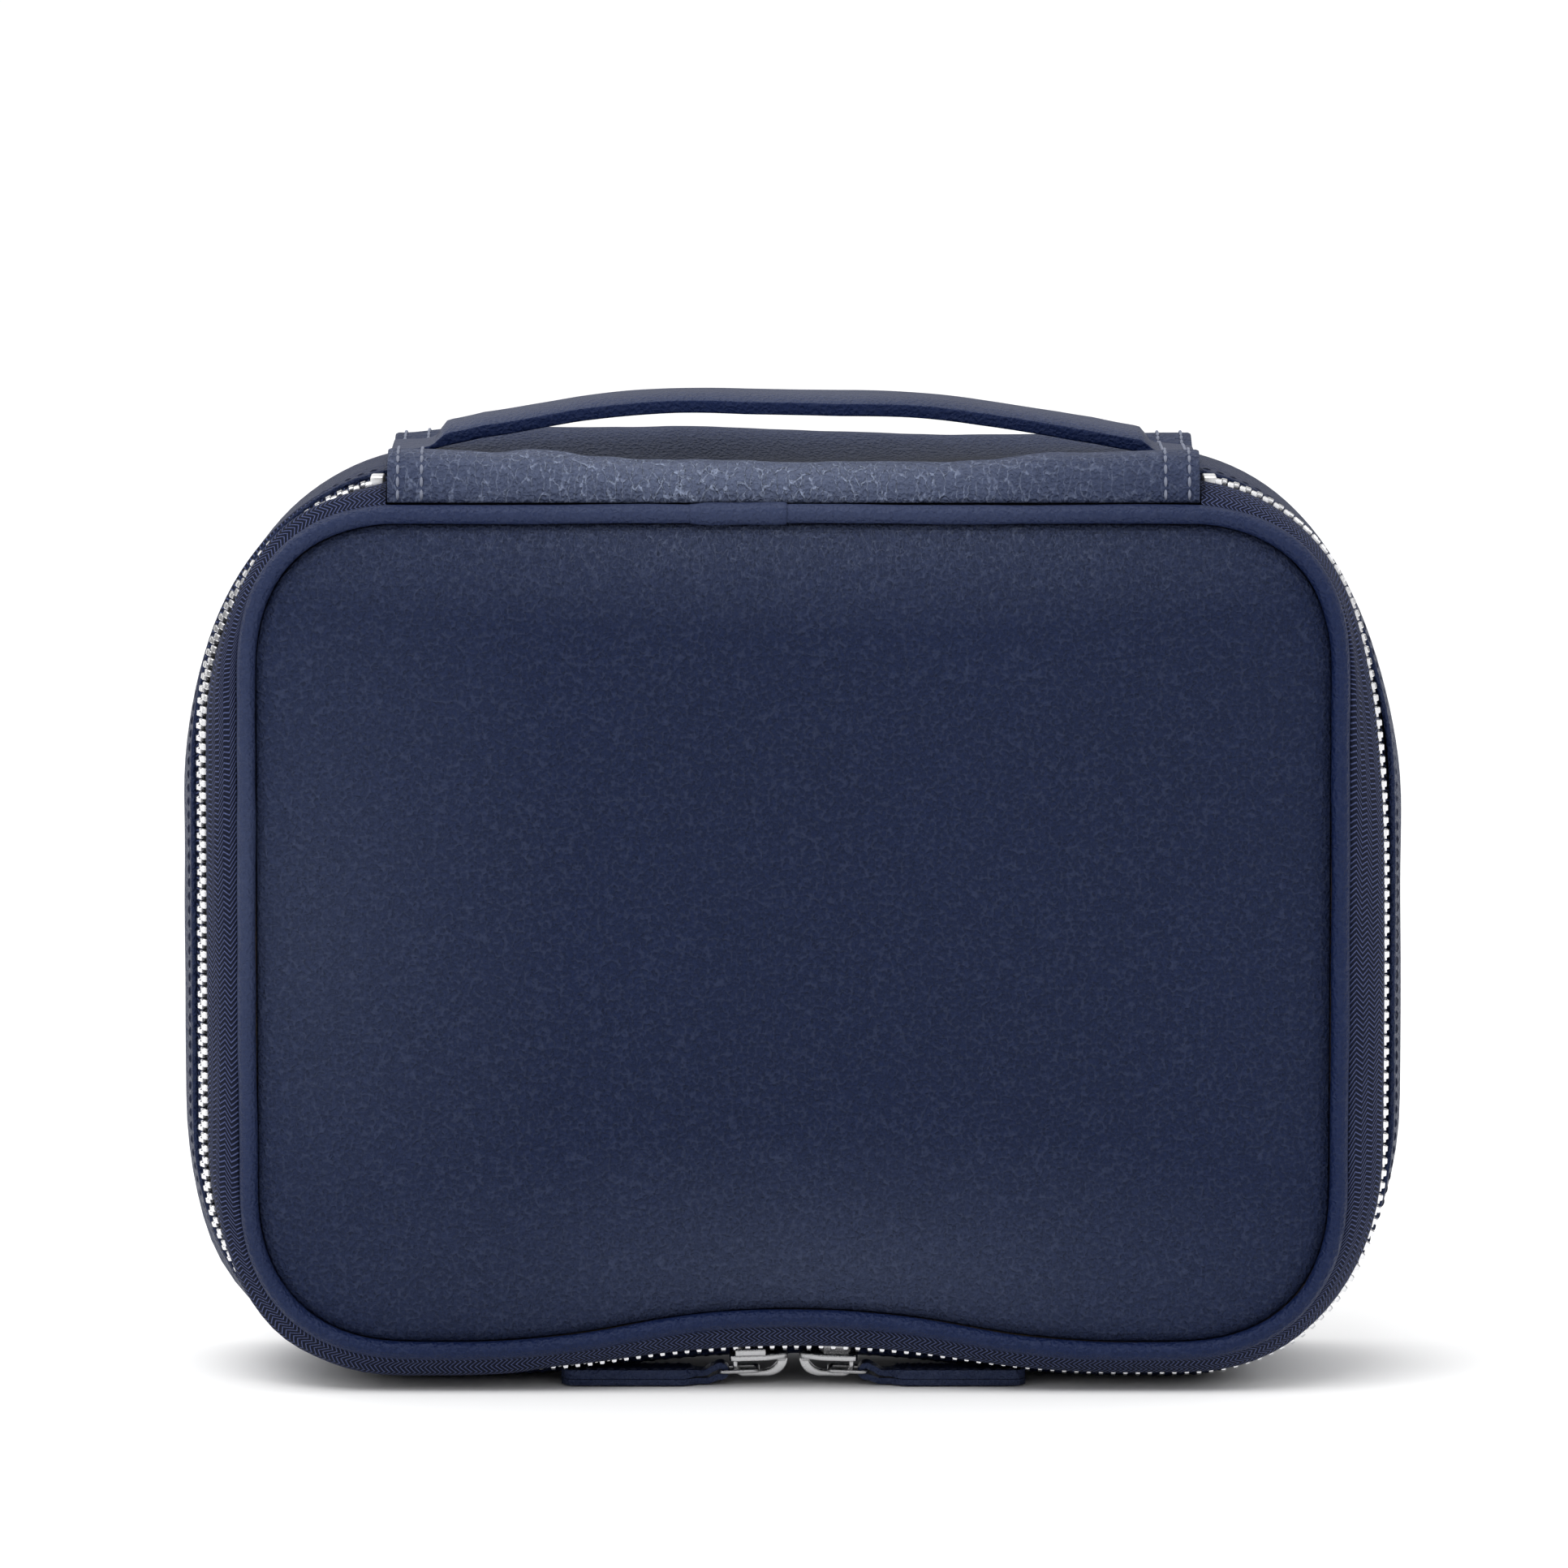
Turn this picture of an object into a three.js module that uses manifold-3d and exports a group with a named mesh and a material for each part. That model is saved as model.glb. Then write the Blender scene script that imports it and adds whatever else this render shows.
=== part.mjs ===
// Zip-around leather jewellery case standing on its long edge. Millimetres, front towards -Y, +Z up.
// Two padded, piped panels; a leather gusset and tray behind, a shallow lid in front, a leather
// hinge along the top with a strap handle, and a two-slider metal zip round the other three sides.
import * as THREE from 'three';
import Module from 'manifold-3d';

const wasm = await Module();
wasm.setup();

const NAVY = '#2a3151';
const HALF_WIDTH = 115.3; // half the width between the piping centrelines
const PIPE_TOP = 187.1; // height of the piping centreline along the top
const PIPE_BOTTOM = 9.0; // and along the bottom, beside the arch
const PIPE_Y = 34.5; // distance of each piping loop from the middle plane
const PIPE_R = 2.0;
const CROWN_Y = 38.0; // how far the padded panels stand out
const SPINE_HALF = 85.4; // half the length of the leather hinge
const CHAIN_END = 88.9; // where the tooth rows end beside it, along X
const ARCH_HALF = 72; // half the length of the hollow in the underside
const HINGE_Y = -22; // line on which the spine bends, which is also the middle plane of the zip
const ZIP_OUT = 9.0; // the zip chain runs this far outside the piping outline
const TOOTH_DEPTH = 2.4; // thickness of the chain
const ROW_Y = [-25.2, -22.7, -21.3, -18.8]; // front and back edges of the two tooth rows
const SLIDER_X = 7.4; // distance of each slider from the middle, along X
const TAB_LENGTH = 32;
const TRAY_TOP = 195.3; // the outline that the tray is drawn from is cut off at this height
const DIVIDER = 2.4;
const SHELF_Z = 88; // height of the long divider
const ROLL_R = 6.2;
const ROLL_PITCH = 13.2;
const STRAP_HINGE_Z = 183; // where the necklace straps are sewn to the lid lining
// The gusset's cross-section: [distance outside the piping outline, y].
const GUSSET = [
  [11.9, -17.3],
  [13, -13],
  [13.7, -9.5],
  [13.7, 14],
  [12.8, 19],
  [10.2, 25.2],
  [6.8, 30],
  [3.3, 32.4],
];

const group = new THREE.Group();
group.name = 'jewellery_case';

const v3 = (x, y, z) => new THREE.Vector3(x, y, z);

function mesh(name, geometry, color, roughness, metalness = 0) {
  const part = new THREE.Mesh(geometry, new THREE.MeshStandardMaterial({ color, roughness, metalness }));
  part.name = name;
  return part;
}

const add = (...args) => group.add(mesh(...args));

// The case outline seen from the front, b mm outside the piping centreline.
// Its corners are ellipses, squarer on the panels and longer and rounder the further out they lie.
function outlineSize(b) {
  const outward = b > 0;
  return {
    w: HALF_WIDTH + 1.05 * b,
    top: PIPE_TOP + 0.72 * b,
    bottom: Math.max(PIPE_BOTTOM - 0.66 * b, 0),
    topX: outward ? 35 + b + 0.028 * b * b : Math.max(35 + 0.8 * b, 8),
    topZ: outward ? 35 + 1.7 * b + 0.074 * b * b : Math.max(35 + 0.8 * b, 8),
    lowX: outward ? 36 + 0.1 * b + 0.065 * b * b : Math.max(36 + 0.4 * b, 10),
    lowZ: outward ? 36 + 1.1 * b + 0.05 * b * b : Math.max(36 + 0.4 * b, 10),
    power: outward ? 2.4 - 0.025 * b : 2.4,
    arch: outward ? 7 - 0.17 * b : 7 * Math.max(0, 1 + b / 60),
  };
}

// Points on a quarter of a superellipse, at angles given in degrees.
const corner = (cx, cz, rx, rz, power, angles) =>
  angles.map((angle) => {
    const a = THREE.MathUtils.degToRad(angle);
    const u = Math.abs(Math.cos(a)) ** (2 / power);
    const v = Math.abs(Math.sin(a)) ** (2 / power);
    return [cx + rx * u, cz + rz * v * Math.sign(Math.sin(a))];
  });

function steps(from, to, count) {
  return Array.from({ length: count }, (_, i) => from + ((to - from) * i) / (count - 1));
}

// Angles round a top corner. The first two are just past the spine's end and where the chain stops.
function topAngles({ w, topX, power }) {
  const at = (x) => THREE.MathUtils.radToDeg(Math.acos(((x - w + topX) / topX) ** (power / 2)));
  const ends = w > 95 ? [at(SPINE_HALF + 0.3), at(CHAIN_END)] : [90, 80];
  return [ends[0], ...steps(ends[1], 0, 6)];
}

// Height of the arched underside at f of its half length, as a share of the full rise.
const archRise = (f) => (f < 0.5 ? 1 - 2 * f * f : 2 * (1 - f) ** 2);

// Points round the outline, clockwise from the right end of the spine, each with its outward normal.
function outline(size, topXs = [-43, 0, 43]) {
  const { w, top, bottom, topX, topZ, lowX, lowZ, power, arch } = size;
  const half = Math.min(ARCH_HALF, w - lowX - 0.5);
  const right = [
    ...corner(w - topX, top - topZ, topX, topZ, power, topAngles(size)),
    [w, (top + bottom) / 2],
    ...corner(w - lowX, bottom + lowZ, lowX, lowZ, power, steps(0, -90, 6)),
    ...[1, 0.75, 0.5, 0.375, 0.25, 0.125].map((f) => [f * half, bottom + arch * archRise(f)]),
  ];
  const left = right.map(([x, z]) => [-x, z]).reverse();
  const points = [...right, [0, bottom + arch], ...left, ...topXs.map((x) => [x, top])];
  return points.map(([x, z], i) => {
    const [px, pz] = points.at(i - 1);
    const [qx, qz] = points[(i + 1) % points.length];
    const length = Math.hypot(qx - px, qz - pz);
    return { x, z, nx: (pz - qz) / length, nz: (qx - px) / length };
  });
}

const SIDE_POINTS = outline(outlineSize(0), []).length; // the points that aren't on the spine

// Signed volume, which tells whether the faces point outward.
function volume(points, index) {
  let sum = 0;
  for (let i = 0; i < index.length; i += 3) {
    const [a, b, c] = [points[index[i]], points[index[i + 1]], points[index[i + 2]]];
    sum += a.dot(new THREE.Vector3().crossVectors(b, c));
  }
  return sum;
}

function capTriangles(ring) {
  const normal = v3(0, 0, 0);
  ring.forEach((p, i) => normal.add(new THREE.Vector3().crossVectors(p, ring[(i + 1) % ring.length])));
  normal.normalize();
  const u = (Math.abs(normal.x) < 0.9 ? v3(1, 0, 0) : v3(0, 1, 0)).cross(normal).normalize();
  const v = new THREE.Vector3().crossVectors(normal, u);
  const flat = ring.map((p) => new THREE.Vector2(p.dot(u), p.dot(v)));
  return THREE.ShapeUtils.triangulateShape(flat, []).map(([a, b, c]) => {
    const turn = flat[b].clone().sub(flat[a]).cross(flat[c].clone().sub(flat[a]));
    return turn > 0 ? [a, b, c] : [a, c, b];
  });
}

// A closed body through a row of closed rings with equal numbers of points, either capped at both
// ends or joined end to end.
function loft(rings, joined = false) {
  const n = rings[0].length;
  const points = rings.flat();
  const index = [];
  for (let r = 0; r + (joined ? 0 : 1) < rings.length; r++) {
    const next = ((r + 1) % rings.length) * n;
    for (let j = 0; j < n; j++) {
      const k = (j + 1) % n;
      index.push(r * n + j, r * n + k, next + k, r * n + j, next + k, next + j);
    }
  }
  if (!joined) {
    const last = points.length - n;
    for (const [a, b, c] of capTriangles(rings[0])) index.push(a, c, b);
    for (const [a, b, c] of capTriangles(rings.at(-1))) index.push(last + a, last + b, last + c);
  }
  if (volume(points, index) < 0) index.reverse();
  const geometry = new THREE.BufferGeometry();
  geometry.setAttribute('position', new THREE.Float32BufferAttribute(points.flatMap((p) => p.toArray()), 3));
  geometry.setIndex(index);
  geometry.computeVertexNormals();
  return geometry;
}

const ringAt = (size, n, y) => outline(size).map((p) => v3(p.x + n * p.nx, y, p.z + n * p.nz));

// A dish or board: rings given as [b, n, y], where n is a true offset from the outline at b.
const dish = (rings, size = outlineSize) => loft(rings.map(([b, n, y]) => ringAt(size(b), n, y)));

// A strip along outline points from..to, whose cross-section is given as [b, n, y].
function strip(section, from, to) {
  const rails = section.map(([b, n, y]) => {
    const points = outline(outlineSize(b));
    return points.map((p) => v3(p.x + n * p.nx, y, p.z + n * p.nz));
  });
  const stations = Array.from({ length: to - from + 1 }, (_, i) => from + i);
  return loft(stations.map((i) => rails.map((rail) => rail[i])));
}

// The section between offsets t0 and t1 of a line of [b, y] points.
function thicken(line, t0, t1) {
  const side = (t) =>
    line.map(([b, y], i) => {
      const [pb, py] = line[Math.max(i - 1, 0)];
      const [qb, qy] = line[Math.min(i + 1, line.length - 1)];
      const length = Math.hypot(qb - pb, qy - py);
      return [b, (t * (qy - py)) / length, y - (t * (qb - pb)) / length];
    });
  return [...side(t0), ...side(t1).reverse()];
}

function solid(geometry) {
  const plain = new THREE.BufferGeometry();
  plain.setAttribute('position', geometry.getAttribute('position').clone());
  if (geometry.index) plain.setIndex(geometry.index.clone());
  const merged = mergeVertices(plain);
  return new wasm.Manifold(
    new wasm.Mesh({
      numProp: 3,
      vertProperties: new Float32Array(merged.getAttribute('position').array),
      triVerts: new Uint32Array(merged.index.array),
    }),
  );
}

function fromSolid(body) {
  const { vertProperties, triVerts } = body.getMesh();
  const geometry = new THREE.BufferGeometry();
  geometry.setAttribute('position', new THREE.Float32BufferAttribute(vertProperties, 3));
  geometry.setIndex(Array.from(triVerts));
  return geometry.toNonIndexed();
}

// Joins vertices that lie together, so that the body is watertight.
function mergeVertices(geometry) {
  const position = geometry.getAttribute('position');
  const order = geometry.index ? Array.from(geometry.index.array) : [...Array(position.count).keys()];
  const seen = new Map();
  const kept = [];
  const index = order.map((i) => {
    const p = [position.getX(i), position.getY(i), position.getZ(i)];
    const key = p.map((c) => Math.round(c * 1e4)).join();
    if (!seen.has(key)) {
      seen.set(key, kept.length / 3);
      kept.push(...p);
    }
    return seen.get(key);
  });
  const merged = new THREE.BufferGeometry();
  merged.setAttribute('position', new THREE.Float32BufferAttribute(kept, 3));
  merged.setIndex(index);
  return merged;
}

const boxFrom = ([x0, y0, z0], [x1, y1, z1]) =>
  new THREE.BoxGeometry(x1 - x0, y1 - y0, z1 - z0).translate((x0 + x1) / 2, (y0 + y1) / 2, (z0 + z1) / 2);

// A rounded rectangle as a path or shape.
function roundedRect(Type, x0, y0, x1, y1, r) {
  const p = new Type();
  p.moveTo(x0 + r, y0);
  p.lineTo(x1 - r, y0);
  p.absarc(x1 - r, y0 + r, r, -Math.PI / 2, 0);
  p.lineTo(x1, y1 - r);
  p.absarc(x1 - r, y1 - r, r, 0, Math.PI / 2);
  p.lineTo(x0 + r, y1);
  p.absarc(x0 + r, y1 - r, r, Math.PI / 2, Math.PI);
  p.lineTo(x0, y0 + r);
  p.absarc(x0 + r, y0 + r, r, Math.PI, 1.5 * Math.PI);
  return p;
}

const extrude = (shape, depth, curveSegments = 3) =>
  new THREE.ExtrudeGeometry(shape, { depth, bevelEnabled: false, curveSegments });

// Padded panels: leather over foam over board. side is -1 for the front and 1 for the back.
function panel(prefix, side) {
  const y = (depth) => side * depth;
  const flat = side > 0;
  const skin = [
    [-46, 0, y(CROWN_Y - 1)],
    [-16, 0, y(flat ? CROWN_Y - 1 : CROWN_Y - 1.3)],
    [0, -3.6, y(34.4)],
    [0, -3.6, y(32.6)],
    [0, -2.4, y(32.6)],
    [0, -2.4, y(35.2)],
    [0, -8, y(flat ? 37.2 : 36.9)],
    [-16, 0, y(flat ? CROWN_Y : CROWN_Y - 0.3)],
    [-46, 0, y(CROWN_Y)],
  ];
  const foam = [
    [0, -3.9, y(32.5)],
    [0, -3.9, y(34.1)],
    [-16, 0, y(CROWN_Y - 1.7)],
    [-46, 0, y(CROWN_Y - 1.3)],
  ];
  const board = [
    [0, 1, y(30.4)],
    [0, 1, y(32.2)],
  ];
  add(`${prefix}_panel_leather`, dish(skin), NAVY, 0.5);
  add(`${prefix}_panel_foam`, dish(foam), '#d8cfa8', 0.95);
  add(`${prefix}_panel_board`, dish(board), '#8a7a62', 0.9);
}

panel('front', -1);
panel('back', 1);

// Piping: a round cord in leather, with the ends joined under a sleeve at the top.
const SLEEVE = [-21.8, -1.4];
function piping(prefix, side) {
  const size = outlineSize(0);
  const rail = outline(size, [-43, SLEEVE[0] - 0.3, SLEEVE[1] + 0.3, 43]);
  const start = rail.length - 2;
  const around = Array.from({ length: 8 }, (_, i) => (i / 4) * Math.PI);
  const cordRings = Array.from({ length: rail.length }, (_, i) => rail[(start + i) % rail.length]).map((p) =>
    around.map((a) => {
      const n = PIPE_R * Math.cos(a);
      return v3(p.x + n * p.nx, side * PIPE_Y + PIPE_R * Math.sin(a), p.z + n * p.nz);
    }),
  );
  add(`${prefix}_piping`, loft(cordRings), NAVY, 0.4);
  const sleeveRings = [SLEEVE[0], SLEEVE[0] + 3, SLEEVE[1] - 1, SLEEVE[1]].map((x, i) => {
    const r = i === 0 ? PIPE_R : PIPE_R + 0.3;
    return around.map((a) => v3(x, side * PIPE_Y + r * Math.sin(a), PIPE_TOP + r * Math.cos(a)));
  });
  add(`${prefix}_piping_sleeve`, loft(sleeveRings), NAVY, 0.4);
}

piping('front', -1);
piping('back', 1);

// Gusset round the back part, open along the spine.
const LAST = SIDE_POINTS - 1;
add('gusset_leather', strip(thicken(GUSSET, -1.2, 0), 0, LAST), NAVY, 0.5);
const gussetBoardLine = [[12.9, -13.2], ...GUSSET.slice(2, 6)];
add('gusset_board', strip(thicken(gussetBoardLine, -3.2, -1.7), 0, LAST), '#8a7a62', 0.9);

// Zip tapes: the front one bridges from the piping to the chain, the back one tucks under the gusset.
const frontTape = [[2.9, 0.3, -33.4], [ZIP_OUT, 0.3, -25.5], [ZIP_OUT, -0.3, -25.5], [2.9, -0.3, -33]];
const backTape = [
  [ZIP_OUT, 0.3, -18.5],
  [ZIP_OUT, -0.9, -17.5],
  [12.7, -1.7, -14.2],
  [12.7, -2.3, -14.2],
  [ZIP_OUT, -1.5, -17.5],
  [ZIP_OUT, -0.3, -18.5],
];
add('zip_tape_front', strip(frontTape, 0, LAST), '#232a47', 0.9);
add('zip_tape_back', strip(backTape, 0, LAST), '#232a47', 0.9);

const HALF_TOOTH = TOOTH_DEPTH / 2;
function toothRow(name, y0, y1) {
  const section = [
    [ZIP_OUT, -HALF_TOOTH, y0],
    [ZIP_OUT, HALF_TOOTH, y0],
    [ZIP_OUT, HALF_TOOTH, y1],
    [ZIP_OUT, -HALF_TOOTH, y1],
  ];
  add(name, strip(section, 1, LAST - 1), '#b9bcc4', 0.3, 0.9);
}
toothRow('zip_teeth_front', ROW_Y[0], ROW_Y[1]);
toothRow('zip_teeth_back', ROW_Y[2], ROW_Y[3]);

// Top stops, clamped on each tape past the last tooth.
for (const [side, sx] of [['left', -1], ['right', 1]]) {
  for (const [row, y0, y1] of [['front', ROW_Y[0], ROW_Y[1]], ['back', ROW_Y[2], ROW_Y[3]]]) {
    const start = sx * (CHAIN_END - 0.3);
    const end = sx * (CHAIN_END - 2.7);
    const stop = boxFrom([Math.min(start, end), y0, 191.7], [Math.max(start, end), y1, 194.2]);
    add(`zip_stop_${row}_${side}`, stop, '#d6d8dc', 0.3, 0.9);
  }
}

// Spine: sags between the sewn ends, and is cut along the line on which it bends.
const SPINE_SAG = [[85.4, 0], [76, 0], [66, 1.4], [40, 3.1], [0, 3.6]];
const spineStations = [...SPINE_SAG.map(([x, s]) => [-x, s]), ...SPINE_SAG.slice(0, -1).reverse()];
const frontSpine = () => [[-33.5, 190.2], [-32.7, 194.6], [-29.5, 197.9], [-22.3, 198.8]];
const backSpine = (sag) => [
  [-21.2, 198.8],
  [-12.5, 197.9 - sag],
  [12.5, 197.9 - sag],
  [22, 199.3],
  [29, 198.3],
  [32.2, 193.6],
  [33.4, 190.2],
];
function spine(name, line, thickness) {
  const rings = spineStations.map(([x, sag]) => {
    const section = thicken(line(sag).map(([y, z]) => [z, y]), -thickness, 0);
    return section.map(([z, dz, y]) => v3(x, y, z + dz));
  });
  add(name, loft(rings), NAVY, 0.5);
}
spine('spine_front', frontSpine, 1.3);
spine('spine_back', backSpine, 1.3);

// Tray behind the gusset board, with its dividers.
const traySize = (b) => ({ ...outlineSize(b), top: Math.min(outlineSize(b).top, TRAY_TOP) });
const tray = [
  [6.6, -4.2, 28.9],
  [10.2, -4.1, 25.2],
  [12.8, -3.8, 19],
  [13.7, -3.5, 14],
  [13.7, -3.5, -9.5],
  [12.3, -3.5, -15.5],
  [12.3, -5, -15.5],
  [13.7, -5, -9.5],
  [13.7, -5, 14],
  [12.8, -5.3, 19],
  [10.2, -5.7, 25.2],
  [7.9, -6, 27.4],
];
add('tray_liner', dish(tray, traySize), '#8b8f9c', 0.95);

function divider(name, lo, hi) {
  add(name, boxFrom(lo, hi), '#8b8f9c', 0.95);
}
const HALF_DIVIDER = DIVIDER / 2;
divider('divider_long', [-117.2, -14.5, SHELF_Z - HALF_DIVIDER], [117.2, 24, SHELF_Z + HALF_DIVIDER]);
const RING_EDGE = -12;
[RING_EDGE, 52].forEach((x, i) => {
  const lo = [x - HALF_DIVIDER, -14.5, SHELF_Z + HALF_DIVIDER + 0.3];
  divider(`divider_upper_${i + 1}`, lo, [x + HALF_DIVIDER, 26.6, 186.8]);
});
[-40, 40].forEach((x, i) => {
  const hi = [x + HALF_DIVIDER, 26.6, SHELF_Z - HALF_DIVIDER - 0.3];
  divider(`divider_lower_${i + 1}`, [x - HALF_DIVIDER, -14.5, 13], hi);
});

// Ring rolls side by side on a foam pad.
const ROLL_X = [-92.5, RING_EDGE - 3];
add('ring_pad', boxFrom([ROLL_X[0], 9.8, 91], [ROLL_X[1], 26.6, 175.5]), '#d8cfa8', 0.95);
for (let i = 0; i < 7; i++) {
  const roll = new THREE.CylinderGeometry(ROLL_R, ROLL_R, ROLL_X[1] - ROLL_X[0], 10).rotateZ(Math.PI / 2);
  roll.translate((ROLL_X[0] + ROLL_X[1]) / 2, 3, 97.2 + i * ROLL_PITCH);
  add(`ring_roll_${i + 1}`, roll, '#9a9eab', 0.95);
}

// Lid lining with an elastic-topped pocket and three necklace straps on press studs.
add('lid_lining', dish([[0, 1.5, -30.1], [0, 1.5, -29.2]]), '#8b8f9c', 0.95);
const POCKET = { half: 95, low: 30, high: 92, back: -28.9, front: -23.2, wall: 0.9 };
const pocketOuter = boxFrom(
  [-POCKET.half, POCKET.back, POCKET.low],
  [POCKET.half, POCKET.front, POCKET.high],
);
const pocketInner = boxFrom(
  [POCKET.wall - POCKET.half, POCKET.back - 1, POCKET.low + POCKET.wall],
  [POCKET.half - POCKET.wall, POCKET.front - POCKET.wall, POCKET.high + 1],
);
add('lid_pocket', fromSolid(solid(pocketOuter).subtract(solid(pocketInner))), '#7d8190', 0.95);

const strapShape = roundedRect(THREE.Shape, -5, -18, 5, 0, 2);
[-65, 20, 86].forEach((x, i) => {
  const hinge = new THREE.Group();
  hinge.name = `strap_hinge_${i + 1}`;
  hinge.position.set(x, -27.2, STRAP_HINGE_Z);
  const strap = extrude(strapShape, 1.6).rotateX(Math.PI / 2).translate(0, 0.8, 0);
  hinge.add(mesh(`necklace_strap_${i + 1}`, strap, NAVY, 0.5));
  const cap = new THREE.CylinderGeometry(3, 3.4, 0.8, 12).translate(0, 1.5, -13.2);
  hinge.add(mesh(`strap_cap_${i + 1}`, cap, '#c9ccd2', 0.25, 0.9));
  group.add(hinge);
  const stud = new THREE.CylinderGeometry(3, 3, 0.6, 12).translate(x, -28.6, STRAP_HINGE_Z - 13.2);
  add(`strap_stud_${i + 1}`, stud, '#c9ccd2', 0.25, 0.9);
});

// Handle: padded strap, free between its two sewn ends.
const HANDLE_FREE = 66;
const handleUnder = (x) => {
  const share = (1 - Math.cos(Math.min(Math.abs(x) / 78, 1) * Math.PI)) / 2;
  return 205.9 - 7.6 * share ** 1.8;
};
function strapRing(x, half, edge, middle) {
  const top = [[-1, edge], [-0.68, middle - 0.3], [0, middle], [0.68, middle - 0.3], [1, edge]];
  return [[-1, 0], ...top, [1, 0]].map(([y, z]) => v3(x, y * half, handleUnder(x) + z));
}
const handleXs = [-HANDLE_FREE, -55, -44, -33, -22, -11, 0, 11, 22, 33, 44, 55, HANDLE_FREE];
add('handle', loft(handleXs.map((x) => strapRing(x, 11, 2.2, 4.3))), NAVY, 0.45);
const END_SECTIONS = [[HANDLE_FREE + 0.3, 2.2, 4.3], [74.5, 2.1, 4.1], [77, 1.6, 2], [85.2, 1.5, 1.8]];
for (const [side, sx] of [['left', -1], ['right', 1]]) {
  const rings = END_SECTIONS.map(([x, edge, middle]) => strapRing(sx * x, 11, edge, middle));
  add(`handle_end_${side}`, loft(rings), NAVY, 0.45);
}

// Sliders on the arched lower run of the chain. Each turns about a far point under the case, which
// is the centre of the arch, and carries a wire ring with a doubled leather tab.
const zipSize = outlineSize(ZIP_OUT);
const CHAIN_Z = zipSize.bottom + zipSize.arch; // middle of the chain at the top of the arch
const ARCH_R = ARCH_HALF ** 2 / (4 * zipSize.arch);
const PIVOT_Z = CHAIN_Z - ARCH_R;
const PLATE = 1.3;
const OUTER_TOP = -HALF_TOOTH - 0.35; // upper face of the outer plate, from the chain's middle
const CROWN_LOW = -7.2;
const WIRE_R = 0.45;
const RING_IN = 0.4; // the ring's inner bar, beside the slider's middle
const RING_LENGTH = 7.9; // from bar to bar
const RING_HALF = 3.8;
const RING_Z = -5.15;

function sliderBody() {
  const plan = new THREE.Shape();
  plan.moveTo(-6, -2.6);
  plan.lineTo(-1.5, -4.4);
  plan.lineTo(5.2, -4.4);
  plan.lineTo(6.2, -3.4);
  plan.lineTo(6.2, 3.4);
  plan.lineTo(5.2, 4.4);
  plan.lineTo(-1.5, 4.4);
  plan.lineTo(-6, 2.6);
  const outer = extrude(plan, PLATE).translate(0, 0, OUTER_TOP - PLATE);
  const innerPlate = boxFrom([-5.4, -3.4, HALF_TOOTH + 0.35], [5.6, 3.4, HALF_TOOTH + 0.35 + PLATE]);
  const web = boxFrom([-1, -0.4, OUTER_TOP - 0.2], [4.5, 0.4, HALF_TOOTH + 0.6]);
  const crownShape = roundedRect(THREE.Shape, -6, CROWN_LOW, 6, OUTER_TOP - 0.4, 1.6);
  crownShape.holes.push(roundedRect(THREE.Path, -4.8, CROWN_LOW + 1.1, 4.8, OUTER_TOP - PLATE - 0.1, 1));
  const crown = extrude(crownShape, 2.4).rotateX(Math.PI / 2).translate(0, 1.2, 0);
  return fromSolid(solid(outer).add(solid(innerPlate)).add(solid(web)).add(solid(crown)));
}

// Wire ring, lying level: a closed loop of round wire with its two bars along Y.
function wireRing() {
  const shape = roundedRect(THREE.Path, -WIRE_R, -RING_HALF, RING_LENGTH + WIRE_R, RING_HALF, 1.1);
  const path = shape.getPoints(3).slice(0, -1);
  const rings = path.map((p, i) => {
    const before = path.at(i - 1);
    const after = path[(i + 1) % path.length];
    const out = new THREE.Vector2(after.y - before.y, before.x - after.x).normalize();
    return Array.from({ length: 6 }, (_, j) => {
      const a = (j / 3) * Math.PI;
      const n = WIRE_R * (Math.cos(a) - 1);
      return v3(p.x + n * out.x, p.y + n * out.y, WIRE_R * Math.sin(a));
    });
  });
  return loft(rings, true);
}

// Pull tab: two layers of leather, narrowed to a neck that loops round the ring's outer bar.
function pullTab() {
  const plan = new THREE.Shape();
  plan.moveTo(2.2, -2.6);
  plan.lineTo(5, -2.6);
  plan.lineTo(8, -4.6);
  plan.lineTo(TAB_LENGTH - 3, -4.6);
  plan.absarc(TAB_LENGTH - 3, -1.6, 3, -Math.PI / 2, 0);
  plan.absarc(TAB_LENGTH - 3, 1.6, 3, 0, Math.PI / 2);
  plan.lineTo(8, 4.6);
  plan.lineTo(5, 2.6);
  plan.lineTo(2.2, 2.6);
  const body = extrude(plan, 2.7).translate(0, 0, -2.75);
  const loop = new THREE.CylinderGeometry(1.85, 1.85, 5.2, 12);
  const eye = new THREE.CylinderGeometry(0.75, 0.75, 7, 8);
  const neck = boxFrom([0, -2.6, -1.85], [4.5, 2.6, 0.2]);
  return fromSolid(solid(body).add(solid(neck)).add(solid(loop)).subtract(solid(eye)));
}

for (const [side, sx] of [['left', -1], ['right', 1]]) {
  const slider = new THREE.Group();
  slider.position.set(0, HINGE_Y, PIVOT_Z);
  slider.rotation.y = sx * Math.asin(SLIDER_X / ARCH_R);
  const seat = new THREE.Group();
  seat.position.z = ARCH_R;
  seat.rotation.z = sx > 0 ? 0 : Math.PI;
  slider.add(seat);
  seat.add(mesh(`slider_${side}`, sliderBody(), '#b4b7be', 0.28, 0.95));
  const ring = new THREE.Group();
  ring.position.set(RING_IN, 0, RING_Z);
  ring.add(mesh(`pull_ring_${side}`, wireRing(), '#c4c6cc', 0.25, 0.95));
  const tab = new THREE.Group();
  tab.position.x = RING_LENGTH;
  tab.rotation.y = -slider.rotation.y * sx;
  tab.add(mesh(`pull_tab_${side}`, pullTab(), NAVY, 0.5));
  ring.add(tab);
  seat.add(ring);
  group.add(slider);
}

export default group;
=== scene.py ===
import math

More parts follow.
